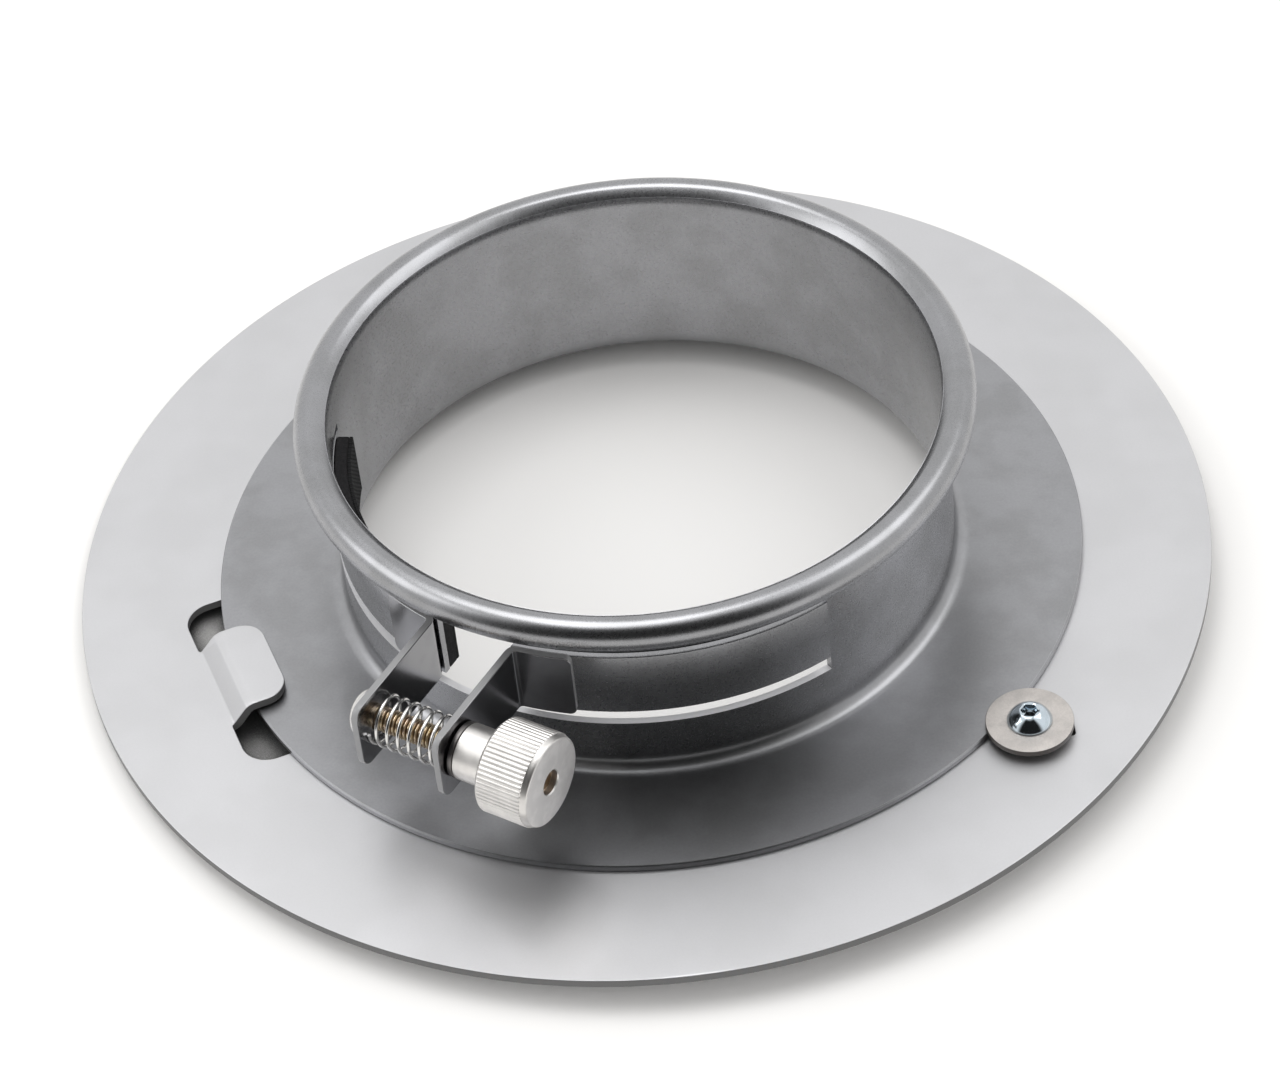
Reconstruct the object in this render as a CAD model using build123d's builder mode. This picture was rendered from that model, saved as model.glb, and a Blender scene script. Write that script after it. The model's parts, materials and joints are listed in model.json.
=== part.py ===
"""Clamp-on mount ring for a studio flash head.

A flat base ring carries two raised hooks and one retaining screw. They hold the flange of a
collar, which is rolled over at its rim. Two straps cut free in the collar's wall end in
brackets, and a bolt with a knurled thumb nut draws the brackets together against a spring,
so that the lined straps close on the flash head.

Millimetres. The origin is the centre of the base ring's underside, and +Z points up the
collar. Every angle is in degrees, counter-clockwise from +X.
"""

from build123d import *
import os
from math import asin, cos, degrees, radians, sin

os.makedirs("parts", exist_ok=True)

# ---------------------------------------------------------------- driving dimensions
# base ring, a flat sheet with an opening
ring_sheet = 1.5
ring_radius = 94.35
ring_opening_radius = 62.5
ring_edge_radius = 0.3

# collar: a flange turned out of a tube whose rim is rolled outward into a bead
collar_sheet = 1.2
bore_radius = 49.7
flange_radius = 72.0
flange_bend_radius = 2.5
rim_band = 2.8
bead_radius = 2.85
bead_lip_gap = 0.25
seat_gap = 0.05

# the flange lies this far off the ring's centre, pushed towards the retaining screw's bush
collar_offset = 1.35
collar_offset_angle = -30.2

# straps: the wall between two slots, parted by a window at the clamp
clamp_angle = 235.1
strap_bottom = 15.2
strap_height = 12.1
strap_half_angle = 66.0
strap_root_slit = 0.1
lower_slot_height = 2.6
upper_slot_height = 1.5

# lining pads inside the straps: a felt core with a woven facing
pad_core = 2.1
pad_facing = 0.6
pad_clearance = 0.05
pad_edge_margin = 0.15
pad_root_margin = 1.6

# brackets: an L of sheet, its foot on the strap and its ear standing out
bracket_sheet = 1.2
bracket_bottom_step = 0.3
bracket_top_step = 0.6
ear_gap = 13.5
ear_end_margin = 5.8
foot_length = 10.0
foot_clearance = 0.02
bracket_bend_radius = 1.0
ear_corner_radius = 2.2
foot_corner_radius = 1.2

# clamp bolt, spring, thrust washer and thumb nut on one axis through both ears
bolt_reach = 68.0
bolt_radius = 2.0
ear_hole_clearance = 0.35
bolt_head_radius = 4.0
bolt_head_height = 2.6
bolt_end_recess = 1.0
ear_running_gap = 0.3
spring_radius = 4.0
spring_wire_radius = 0.3
spring_wire_sides = 8
spring_turns = 6.5
spring_end_gap = 0.05
thrust_washer_radius = 4.6
thrust_washer_thickness = 0.8
thrust_washer_gap = 0.05
thrust_washer_clearance = 0.1
nut_bore_clearance = 0.05
hub_radius = 4.6
hub_length = 5.9
knob_radius = 7.7
knob_length = 9.2
knob_chamfer = 0.6

# hooks: tongues left standing in a punched notch and set up over the flange
hook_angles = (197.0, 77.0)
notch_beyond_flange = 3.3
notch_half_width = 19.3
notch_corner_radius = 4.5
hook_width = 18.2
hook_foot_beyond_flange = 2.6
hook_rise_run = 2.7
hook_overlap = 7.2
hook_bend_radius = 1.5
hook_corner_radius = 4.0
hook_gap = 0.35

# retaining screw: it clamps a wide washer over the flange, and slides in a slot
screw_angle = 318.0
screw_radius = 2.0
screw_head_radius = 3.6
screw_head_height = 2.2
socket_across_flats = 2.5
socket_depth = 1.2
slot_half_width = 2.2
slot_inner_length = 2.6
slot_outer_length = 6.95
slot_corner_radius = 0.5
bush_radius = 3.95
bush_flange_gap = 0.25
screw_hole_clearance = 0.05
washer_radius = 7.0
washer_thickness = 1.0
washer_edge_bevel = 0.2
lock_nut_across_flats = 7.0
lock_nut_hex_height = 3.2
lock_nut_collar_height = 1.8
lock_nut_collar_radius = 3.1
lock_nut_seat_gap = 0.05
nylon_ring_radius = 2.7
nylon_ring_height = 1.2
screw_tail = 0.4

# ---------------------------------------------------------------- places that follow
collar_x = collar_offset * cos(radians(collar_offset_angle))
collar_y = collar_offset * sin(radians(collar_offset_angle))
collar_axis = Axis((collar_x, collar_y, 0), (0, 0, 1))
collar_section = Plane(origin=(collar_x, collar_y, 0), x_dir=(1, 0, 0), z_dir=(0, -1, 0))
wall_radius = bore_radius + collar_sheet
flange_bottom = ring_sheet + seat_gap
flange_top = flange_bottom + collar_sheet
strap_top = strap_bottom + strap_height
window_top = strap_top + upper_slot_height
bead_height = window_top + rim_band + bead_radius
bracket_bottom = strap_bottom + bracket_bottom_step
bracket_top = strap_top + bracket_top_step
bolt_height = (bracket_bottom + bracket_top) / 2
ear_inner = ear_gap / 2
ear_outer = ear_inner + bracket_sheet
ear_end = bolt_reach + ear_end_margin
notch_reach = flange_radius + notch_beyond_flange
hook_foot_radius = flange_radius + hook_foot_beyond_flange
offset_towards_screw = collar_offset * cos(radians(screw_angle - collar_offset_angle))
screw_reach = flange_radius + offset_towards_screw + bush_flange_gap + bush_radius
washer_bottom = flange_top + seat_gap
washer_top = washer_bottom + washer_thickness


def collar_plane(height):
    """Level plane on the collar's axis, with its x direction pointing at the clamp."""
    heading = (cos(radians(clamp_angle)), sin(radians(clamp_angle)), 0)
    return Plane(origin=(collar_x, collar_y, height), x_dir=heading, z_dir=(0, 0, 1))


def clamp_axis_plane(distance):
    """Plane across the clamp bolt, at a signed distance from the middle of the clamp."""
    middle = collar_plane(bolt_height)
    centre = middle.from_local_coords(Vector(bolt_reach, distance, 0))
    return Plane(origin=centre, x_dir=middle.x_dir, z_dir=middle.y_dir)


def screw_plane(height):
    """Level plane on the retaining screw, with its x direction pointing outward."""
    out = Vector(cos(radians(screw_angle)), sin(radians(screw_angle)), 0)
    return Plane(origin=out * screw_reach + Vector(0, 0, height), x_dir=out, z_dir=(0, 0, 1))


def ring_segment(inner, outer, start, end):
    """Flat piece of a ring between two radii and two angles."""
    with BuildSketch() as segment:
        with BuildLine():
            outside = CenterArc((0, 0), outer, start, end - start)
            inside = CenterArc((0, 0), inner, start, end - start)
            Line(outside @ 0, inside @ 0)
            Line(outside @ 1, inside @ 1)
        make_face()
    return segment.sketch


def finish(part, label):
    """Names a finished piece and writes it."""
    part.label = label
    export_step(part, f"parts/{label}.step")
    size = part.bounding_box().size
    print(f"{label:20s} {size.X:7.2f} {size.Y:7.2f} {size.Z:7.2f}  {part.volume:9.1f} mm3")


# ---------------------------------------------------------------- base ring
# A blanked sheet. Each hook is a tongue in the middle of a punched notch, set up in an S so
# that its flat end reaches over the flange. The slot lets the retaining screw slide off it.
hook_rise = flange_top + hook_gap
with BuildPart() as base_ring:
    with BuildSketch():
        Circle(ring_radius)
        Circle(ring_opening_radius, mode=Mode.SUBTRACT)
    extrude(amount=ring_sheet)
    rim_edges = base_ring.edges().filter_by(GeomType.CIRCLE).group_by(SortBy.RADIUS)[-1]
    fillet(rim_edges, radius=ring_edge_radius)
    for hook_angle in hook_angles:
        with BuildSketch(Plane.XY.rotated((0, 0, hook_angle))) as notch:
            with Locations((notch_reach / 2, 0)):
                Rectangle(notch_reach, 2 * notch_half_width)
            fillet(notch.vertices().group_by(Axis.X)[-1], radius=notch_corner_radius)
        extrude(amount=ring_sheet, mode=Mode.SUBTRACT)
    for hook_angle in hook_angles:
        hook_side = Plane.XZ.rotated((0, 0, hook_angle))
        middle = ring_sheet / 2
        with BuildLine(hook_side) as hook_path:
            FilletPolyline(
                (notch_reach + ring_sheet, middle),
                (hook_foot_radius, middle),
                (hook_foot_radius - hook_rise_run, middle + hook_rise),
                (flange_radius - hook_overlap, middle + hook_rise),
                radius=hook_bend_radius,
            )
        with BuildSketch(Plane(hook_path.line @ 0, z_dir=hook_path.line % 0)) as hook_section:
            Rectangle(hook_width, ring_sheet)
        sweep()
    tips = (
        base_ring.edges()
        .filter_by(Axis.Z)
        .filter_by_position(Axis.Z, hook_rise, hook_rise + ring_sheet)
    )
    fillet(tips, radius=hook_corner_radius)
    with BuildSketch(Plane(origin=screw_plane(0).origin)) as screw_slot:
        with Locations(((slot_outer_length - slot_inner_length) / 2, 0)):
            Rectangle(slot_outer_length + slot_inner_length, 2 * slot_half_width)
        fillet(screw_slot.vertices(), radius=slot_corner_radius)
    extrude(amount=ring_sheet, mode=Mode.SUBTRACT)
finish(base_ring.part, "base_ring")

# ---------------------------------------------------------------- collar
# One sheet all round: flange, bend, tube and rolled bead. The bead's curl ends in a lip
# that stops just short of the wall. The window in the wall leaves room for the straps.
middle_radius = bore_radius + collar_sheet / 2
curl_radius = bead_radius - collar_sheet / 2
lip_reach = collar_sheet + bead_lip_gap
lip_angle = degrees(asin((curl_radius - lip_reach) / curl_radius))
with BuildPart() as collar:
    with BuildSketch(collar_section):
        with BuildLine():
            FilletPolyline(
                (flange_radius, flange_bottom + collar_sheet / 2),
                (middle_radius, flange_bottom + collar_sheet / 2),
                (middle_radius, bead_height),
                radius=flange_bend_radius + collar_sheet / 2,
            )
            CenterArc((bore_radius + bead_radius, bead_height), curl_radius, 180, -270 - lip_angle)
        trace(line_width=collar_sheet)
    revolve(axis=collar_axis)
    with BuildSketch(collar_plane(strap_bottom - lower_slot_height)):
        add(
            ring_segment(
                bore_radius - collar_sheet,
                wall_radius + bead_lip_gap,
                -strap_half_angle,
                strap_half_angle,
            )
        )
    extrude(amount=window_top - strap_bottom + lower_slot_height, mode=Mode.SUBTRACT)
finish(collar.part, "collar")


# ---------------------------------------------------------------- straps, pads, brackets
# Each side is drawn for the clamp's +y half and mirrored for the other.
def arc_sheet(inner, outer, bottom, top, end_angle):
    """Upright curved sheet on one side of the clamp, from the window to an angle."""
    with BuildPart() as sheet:
        with BuildSketch(Plane.XY.offset(bottom)):
            add(ring_segment(inner, outer, 0, end_angle))
            with Locations((outer / 2, ear_inner / 2)):
                Rectangle(2 * outer, ear_inner, mode=Mode.SUBTRACT)
        extrude(amount=top - bottom)
    return sheet.part


def bracket_side():
    """L bracket: a foot curved to the strap and a flat ear that stands out."""
    foot_inner = wall_radius + foot_clearance
    foot_outer = foot_inner + bracket_sheet
    with BuildPart() as bracket:
        with BuildSketch(Plane.XY.offset(bracket_bottom)) as outline:
            Circle(foot_outer)
            Circle(foot_inner, mode=Mode.SUBTRACT)
            with Locations((foot_outer / 2, ear_inner + foot_length / 2)):
                Rectangle(foot_outer, foot_length, mode=Mode.INTERSECT)
            ear_start = foot_inner * cos(asin(ear_inner / foot_inner))
            with Locations(((ear_start + ear_end) / 2, (ear_inner + ear_outer) / 2)):
                Rectangle(ear_end - ear_start, bracket_sheet)
            heel = outline.vertices().sort_by_distance((foot_inner, ear_inner))[0]
            fillet(heel, radius=bracket_bend_radius)
            crook = outline.vertices().sort_by_distance((foot_outer, ear_outer))[0]
            fillet(crook, radius=bracket_bend_radius / 2)
        extrude(amount=bracket_top - bracket_bottom)
        ear_corners = bracket.edges().filter_by(Axis.Y).group_by(Axis.X)[-1]
        fillet(ear_corners, radius=ear_corner_radius)
        foot_end = bracket.faces().sort_by(Axis.Y)[-1].edges().group_by(SortBy.LENGTH)[0]
        fillet(foot_end, radius=foot_corner_radius)
        with BuildSketch(Plane.XZ):
            with Locations((bolt_reach, bolt_height)):
                Circle(bolt_radius + ear_hole_clearance)
        extrude(amount=-2 * ear_outer, mode=Mode.SUBTRACT)
    return bracket.part


strap_angle = strap_half_angle - degrees(strap_root_slit / wall_radius)
pad_angle = strap_half_angle - degrees(pad_root_margin / bore_radius)
pad_outer = bore_radius - pad_clearance
pad_bottom = strap_bottom + pad_edge_margin
pad_top = strap_top - pad_edge_margin
facing_outer = pad_outer - pad_core
sides = {
    "strap": arc_sheet(bore_radius, wall_radius, strap_bottom, strap_top, strap_angle),
    "lining_pad": arc_sheet(facing_outer, pad_outer, pad_bottom, pad_top, pad_angle),
    "lining_facing": arc_sheet(
        facing_outer - pad_facing, facing_outer, pad_bottom, pad_top, pad_angle
    ),
    "clamp_bracket": bracket_side(),
}
for name, drawn in sides.items():
    for label, plane in (("right", None), ("left", Plane.XZ)):
        with BuildPart(collar_plane(0)) as piece:
            add(drawn if plane is None else mirror(drawn, about=plane, mode=Mode.PRIVATE))
        finish(piece.part, f"{name}_{label}")

# ---------------------------------------------------------------- clamp bolt and its pieces
# The bolt's round head bears on the left ear, and its end stops inside the thumb nut.
head_face = -ear_outer - ear_running_gap
washer_face = ear_outer + ear_running_gap
nut_face = washer_face + thrust_washer_thickness + thrust_washer_gap
knob_face = nut_face + hub_length
bolt_end = knob_face + knob_length - bolt_end_recess


def disc(radius, plane, length, rounding=0, bevel=0):
    """Solid cylinder from a plane, its far edge rounded or both of its edges bevelled."""
    with BuildPart() as cylinder:
        with BuildSketch(plane):
            Circle(radius)
        extrude(amount=length)
        if rounding:
            far_edge = cylinder.edges().sort_by_distance(plane.origin)[-1]
            fillet(far_edge, radius=rounding)
        if bevel:
            chamfer(cylinder.edges().filter_by(GeomType.CIRCLE), length=bevel)
    return cylinder.part


with BuildPart() as clamp_bolt:
    add(disc(bolt_radius, clamp_axis_plane(head_face), bolt_end - head_face))
    add(disc(bolt_head_radius, clamp_axis_plane(head_face), -bolt_head_height, rounding=1.5))
finish(clamp_bolt.part, "clamp_bolt")

spring_reach = ear_inner - spring_end_gap - spring_wire_radius
with BuildPart() as clamp_spring:
    with BuildLine():
        coil = Helix(
            pitch=2 * spring_reach / spring_turns,
            height=2 * spring_reach,
            radius=spring_radius,
            center=clamp_axis_plane(-spring_reach).origin,
            direction=clamp_axis_plane(0).z_dir,
        )
    with BuildSketch(Plane(origin=coil @ 0, z_dir=coil % 0)):
        RegularPolygon(spring_wire_radius, spring_wire_sides)
    sweep(path=coil, is_frenet=True)
finish(clamp_spring.part, "clamp_spring")

with BuildPart() as thrust_washer:
    with BuildSketch(clamp_axis_plane(washer_face)):
        Circle(thrust_washer_radius)
        Circle(bolt_radius + thrust_washer_clearance, mode=Mode.SUBTRACT)
    extrude(amount=thrust_washer_thickness)
finish(thrust_washer.part, "thrust_washer")

with BuildPart() as thumb_nut:
    add(disc(hub_radius, clamp_axis_plane(nut_face), hub_length))
    add(disc(knob_radius, clamp_axis_plane(knob_face), knob_length, bevel=knob_chamfer))
    with BuildSketch(clamp_axis_plane(nut_face)):
        Circle(bolt_radius + nut_bore_clearance)
    extrude(amount=hub_length + knob_length, mode=Mode.SUBTRACT)
finish(thumb_nut.part, "thumb_nut")

# ---------------------------------------------------------------- retaining screw and its pieces
# The bush stands on the base ring beside the flange, and the washer reaches over both.
with BuildPart() as spacer_bush:
    with BuildSketch(screw_plane(ring_sheet)):
        Circle(bush_radius)
        Circle(screw_radius + screw_hole_clearance, mode=Mode.SUBTRACT)
    extrude(amount=washer_bottom - ring_sheet)
finish(spacer_bush.part, "spacer_bush")

with BuildPart() as retaining_washer:
    with BuildSketch(screw_plane(washer_bottom)):
        Circle(washer_radius)
        Circle(screw_radius + screw_hole_clearance, mode=Mode.SUBTRACT)
    extrude(amount=washer_thickness)
    washer_rims = retaining_washer.edges().filter_by(GeomType.CIRCLE).group_by(SortBy.RADIUS)[-1]
    chamfer(washer_rims, length=washer_edge_bevel)
finish(retaining_washer.part, "retaining_washer")

nut_top = -lock_nut_seat_gap
hex_bottom = nut_top - lock_nut_hex_height
nut_bottom = hex_bottom - lock_nut_collar_height
with BuildPart() as retaining_screw:
    shank_length = washer_top - nut_bottom + screw_tail
    add(disc(screw_radius, screw_plane(washer_top), -shank_length))
    add(disc(screw_head_radius, screw_plane(washer_top), screw_head_height, rounding=1.2))
    with BuildSketch(screw_plane(washer_top + screw_head_height)):
        RegularPolygon(socket_across_flats / 2, 6, major_radius=False)
    extrude(amount=-socket_depth, mode=Mode.SUBTRACT)
finish(retaining_screw.part, "retaining_screw")

with BuildPart() as lock_nut:
    with BuildSketch(screw_plane(nut_top)):
        RegularPolygon(lock_nut_across_flats / 2, 6, major_radius=False)
    extrude(amount=-lock_nut_hex_height)
    add(disc(lock_nut_collar_radius, screw_plane(hex_bottom), -lock_nut_collar_height, rounding=0.5))
    with BuildSketch(screw_plane(nut_top)):
        Circle(screw_radius + screw_hole_clearance)
    extrude(amount=nut_bottom - nut_top, mode=Mode.SUBTRACT)
    with BuildSketch(screw_plane(nut_bottom)):
        Circle(nylon_ring_radius)
    extrude(amount=nylon_ring_height, mode=Mode.SUBTRACT)
finish(lock_nut.part, "lock_nut")

with BuildPart() as lock_nut_insert:
    with BuildSketch(screw_plane(nut_bottom)):
        Circle(nylon_ring_radius)
        Circle(screw_radius + screw_hole_clearance, mode=Mode.SUBTRACT)
    extrude(amount=nylon_ring_height)
finish(lock_nut_insert.part, "lock_nut_insert")
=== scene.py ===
# %% [markdown]
# # A clamp-on mount ring for a studio flash head
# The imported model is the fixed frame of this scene. Every visible piece is built anew here, finer
# than the construction model, in the very place that the frame gives it. So this first cell loads
# the frame, and the next ones measure it.

# %% Load the frame
import bmesh
import bpy
import json
import math
import numpy as np
from mathutils import Matrix, Vector, geometry, noise


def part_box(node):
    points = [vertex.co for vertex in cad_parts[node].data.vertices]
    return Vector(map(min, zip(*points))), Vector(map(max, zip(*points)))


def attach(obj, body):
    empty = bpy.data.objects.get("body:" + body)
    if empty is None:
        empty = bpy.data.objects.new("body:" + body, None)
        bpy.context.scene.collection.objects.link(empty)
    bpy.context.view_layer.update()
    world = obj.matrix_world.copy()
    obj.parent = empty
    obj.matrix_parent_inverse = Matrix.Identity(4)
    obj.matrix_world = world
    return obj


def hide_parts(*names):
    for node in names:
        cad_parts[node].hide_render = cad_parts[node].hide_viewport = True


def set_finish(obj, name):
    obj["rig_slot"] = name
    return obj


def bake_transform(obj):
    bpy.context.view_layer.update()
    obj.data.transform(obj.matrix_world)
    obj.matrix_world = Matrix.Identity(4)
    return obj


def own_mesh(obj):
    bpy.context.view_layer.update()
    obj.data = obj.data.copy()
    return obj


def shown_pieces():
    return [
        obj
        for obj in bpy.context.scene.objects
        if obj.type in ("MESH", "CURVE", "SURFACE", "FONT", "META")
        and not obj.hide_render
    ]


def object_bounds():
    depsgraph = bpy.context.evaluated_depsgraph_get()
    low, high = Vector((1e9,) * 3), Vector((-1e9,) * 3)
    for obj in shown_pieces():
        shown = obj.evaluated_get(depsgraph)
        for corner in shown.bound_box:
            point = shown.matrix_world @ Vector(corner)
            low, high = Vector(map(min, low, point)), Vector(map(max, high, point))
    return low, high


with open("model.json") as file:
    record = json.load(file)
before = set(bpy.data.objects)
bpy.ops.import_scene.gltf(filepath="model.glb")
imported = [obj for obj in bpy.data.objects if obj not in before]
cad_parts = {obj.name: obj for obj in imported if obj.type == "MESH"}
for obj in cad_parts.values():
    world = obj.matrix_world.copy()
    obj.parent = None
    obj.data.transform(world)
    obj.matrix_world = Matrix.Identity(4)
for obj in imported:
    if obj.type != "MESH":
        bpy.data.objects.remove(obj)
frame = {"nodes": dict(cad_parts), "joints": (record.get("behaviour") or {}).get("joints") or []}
cad_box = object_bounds()
joints = {joint["name"]: joint for joint in frame["joints"]}
MM = 0.001
TINY = 1e-6

# %% [markdown]
# Three places carry the whole assembly: the centre of the base ring, the axis of the collar, and
# the axis of the clamp bolt. The retaining screw makes a fourth. Each gets a local frame of its own,
# so that a piece can be drawn upright and simple, and then be set in place by one matrix. The
# joints' axes say exactly where these frames are.


# %% Local frames
def placed(origin, x_axis, z_axis):
    """Matrix of a right-handed frame from its origin and two of its axes."""
    y_axis = z_axis.cross(x_axis)
    matrix = Matrix((x_axis, y_axis, z_axis)).transposed().to_4x4()
    matrix.translation = origin
    return matrix


UP = Vector((0, 0, 1))
bolt_way = -Vector(joints["thumb_nut_turn"]["axis"]).normalized()
clamp_out = bolt_way.cross(UP)
collar_middle, left_hole, right_hole, screw_middle = (
    Vector(joints[name]["pos_m"])
    for name in ("collar_turn", "clamp_bolt_tilt", "thrust_washer_tilt", "retaining_screw_turn")
)
collar_middle.z = 0
screw_middle.z = 0
screw_out = screw_middle.normalized()

RING = Matrix.Identity(4)
COLLAR = placed(collar_middle, clamp_out, UP)
BOLT = placed((left_hole + right_hole) / 2, clamp_out, bolt_way)
SCREW = placed(screw_middle, screw_out, UP)
print("clamp looks towards", round(math.degrees(math.atan2(clamp_out.y, clamp_out.x)), 2), "degrees")

# %% [markdown]
# A size is read from the frame as well: how far a node reaches from an axis, and from where to
# where it runs along that axis. So a change in the construction model comes through here by itself.
# What the nodes don't tell, such as a deburred edge or a thread's pitch, has a name in capitals.


# %% Measure the nodes
def local_points(node, matrix):
    """A node's corners in a local frame, in metres."""
    inverse = matrix.inverted()
    return np.array([inverse @ vertex.co for vertex in frame["nodes"][node].data.vertices])


def reach_of(points):
    """Distance of each point from the local Z axis."""
    return np.hypot(points[:, 0], points[:, 1])


def radii(node, matrix):
    """Smallest and largest distance of a node's corners from the local Z axis."""
    distance = reach_of(local_points(node, matrix))
    return float(distance.min()), float(distance.max())


def span(node, matrix, axis=2):
    """Lowest and highest place of a node along one local axis."""
    points = local_points(node, matrix)
    return float(points[:, axis].min()), float(points[:, axis].max())


ring_opening, ring_radius = radii("base_ring", RING)
collar_bore, flange_radius = radii("collar", COLLAR)
flange_bottom, collar_top = span("collar", COLLAR)
strap_inner, strap_outer = radii("strap_right", COLLAR)
strap_bottom, strap_top = span("strap_right", COLLAR)
for node in frame["nodes"]:
    low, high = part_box(node)
    print(f"{node:22s}", [round(x / MM, 2) for x in low], [round(x / MM, 2) for x in high])
print("collar bore", round(collar_bore / MM, 2), "flange", round(flange_radius / MM, 2))

# %% [markdown]
# Almost every piece here is either turned or bent out of sheet, as it is in the workshop. A turned
# piece is a profile spun round an axis, so it becomes a grid of quads: rows along the profile and
# columns round the axis. Blender's Spin tool or the Screw modifier would do the same, but a grid in
# code also lets a row's radius change with the angle. That one extra makes flutes, threads and
# hexagons.


# %% Profiles and turned pieces
def arc(centre, radius, start, end, steps=8):
    """Points of an arc in the plane, with angles in degrees."""
    angles = np.radians(np.linspace(start, end, steps + 1))
    return [(centre[0] + radius * math.cos(a), centre[1] + radius * math.sin(a)) for a in angles]


def softened(corners, radius=0, steps=4, closed=True):
    """A polygon's points with every corner rounded. A corner (x, y, r) has a radius of its own."""
    points = []
    count = len(corners)
    for i, corner in enumerate(corners):
        here = Vector(corner[:2])
        reach = corner[2] if len(corner) > 2 else radius
        if reach <= 0 or (not closed and i in (0, count - 1)):
            points.append(tuple(here))
            continue
        before = (Vector(corners[i - 1][:2]) - here).normalized()
        after = (Vector(corners[(i + 1) % count][:2]) - here).normalized()
        half = before.angle(after) / 2
        middle = here + (before + after).normalized() * reach / math.sin(half)
        start = here + before * reach / math.tan(half) - middle
        end = here + after * reach / math.tan(half) - middle
        turn = start.angle_signed(end)
        for step in range(steps + 1):
            spoke = start.copy()
            spoke.rotate(Matrix.Rotation(-turn * step / steps, 2))
            points.append(tuple(middle + spoke))
    return points


def turned(profile, columns, wave=None, closed=False):
    """Vertices and faces of a profile of (radius, height) spun round Z. Where it isn't closed, its
    ends lie on the axis. wave(radius, height, angle) changes the radius with the angle."""
    vertices, faces, rings = [], [], []
    for row, (radius, height) in enumerate(profile):
        if not closed and row in (0, len(profile) - 1) and radius < 1e-7:
            rings.append([len(vertices)] * columns)
            vertices.append((0, 0, height))
            continue
        rings.append(list(range(len(vertices), len(vertices) + columns)))
        for column in range(columns):
            angle = 2 * math.pi * column / columns
            reach = wave(radius, height, angle) if wave else radius
            vertices.append((reach * math.cos(angle), reach * math.sin(angle), height))
    for row in range(len(rings) if closed else len(rings) - 1):
        first, second = rings[row], rings[(row + 1) % len(rings)]
        for column in range(columns):
            after = (column + 1) % columns
            corners = [first[column], first[after], second[after], second[column]]
            face = list(dict.fromkeys(corners))
            if len(face) > 2:
                faces.append(face)
    return vertices, faces


def mesh_of(shape):
    """Mesh from vertices and faces."""
    mesh = bpy.data.meshes.new("shape")
    mesh.from_pydata(shape[0], [], shape[1])
    return mesh


def piece(name, mesh, matrix, sharp=30, weighted=False):
    """A smooth-shaded object from a mesh in a local frame. It keeps the local places as a mark."""
    mesh.name = name
    local = mesh.attributes.new("local", "FLOAT_VECTOR", "POINT")
    local.data.foreach_set("vector", np.array([vertex.co for vertex in mesh.vertices]).ravel())
    mesh.transform(matrix)
    work = bmesh.new()
    work.from_mesh(mesh)
    bmesh.ops.recalc_face_normals(work, faces=work.faces)
    work.to_mesh(mesh)
    work.free()
    mesh.shade_smooth()
    mesh.set_sharp_from_angle(angle=math.radians(sharp))
    made = bpy.data.objects.new(name, mesh)
    bpy.context.scene.collection.objects.link(made)
    if weighted:
        made.modifiers.new("even_flats", "WEIGHTED_NORMAL").keep_sharp = True
    print(f"{name:24s} {len(mesh.vertices):7d} vertices {len(mesh.polygons):7d} faces")
    return made


def mark(mesh, name, chosen):
    """Marks chosen faces with an attribute that a finish reads."""
    marks = mesh.attributes.get(name) or mesh.attributes.new(name, "FLOAT", "FACE")
    for face in mesh.polygons:
        if chosen(face):
            marks.data[face.index].value = 1


def faces_sideways(face):
    """Whether a face of a flat blank or washer is one that the shear has cut."""
    return abs(face.normal.z) < 0.7


def stand_for(made, node, body, slot):
    """A made piece takes a node's place, moves with its body and keeps its finish's slot."""
    if body:
        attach(made, body)
    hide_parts(node)
    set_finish(made, slot)


# %% [markdown]
# Sheet is cut flat first, and bent afterwards. A flat blank is a filled 2D curve, which takes any
# outline with any holes, and its bevel breaks the cut edges as a deburring wheel does. The bend
# then moves each point: how far it lies along the blank says where on the bent line it goes, and
# how far it lies off the sheet's middle keeps its thickness. Extra cuts across the bend give it
# enough points to turn smoothly. A Simple Deform modifier bends too, but only by one arc at a time.


# %% Sheet blanks and bends
def blank(outlines, thickness, edge):
    """Mesh of a flat sheet around z = 0 from closed outlines, the holes among them."""
    curve = bpy.data.curves.new("blank", "CURVE")
    curve.dimensions = "2D"
    curve.fill_mode = "BOTH"
    curve.extrude = thickness / 2 - edge
    curve.bevel_depth = edge
    curve.bevel_resolution = 2
    curve.offset = -edge
    for outline in outlines:
        spline = curve.splines.new("POLY")
        spline.points.add(len(outline) - 1)
        for point, (x, y) in zip(spline.points, outline):
            point.co = (x, y, 0, 1)
        spline.use_cyclic_u = True
    holder = bpy.data.objects.new("blank", curve)
    bpy.context.scene.collection.objects.link(holder)
    bpy.context.view_layer.update()
    solved = holder.evaluated_get(bpy.context.evaluated_depsgraph_get())
    mesh = bpy.data.meshes.new_from_object(solved)
    bpy.data.objects.remove(holder)
    bpy.data.curves.remove(curve)
    work = bmesh.new()
    work.from_mesh(mesh)
    bmesh.ops.remove_doubles(work, verts=work.verts, dist=TINY)
    work.to_mesh(mesh)
    work.free()
    return mesh


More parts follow.
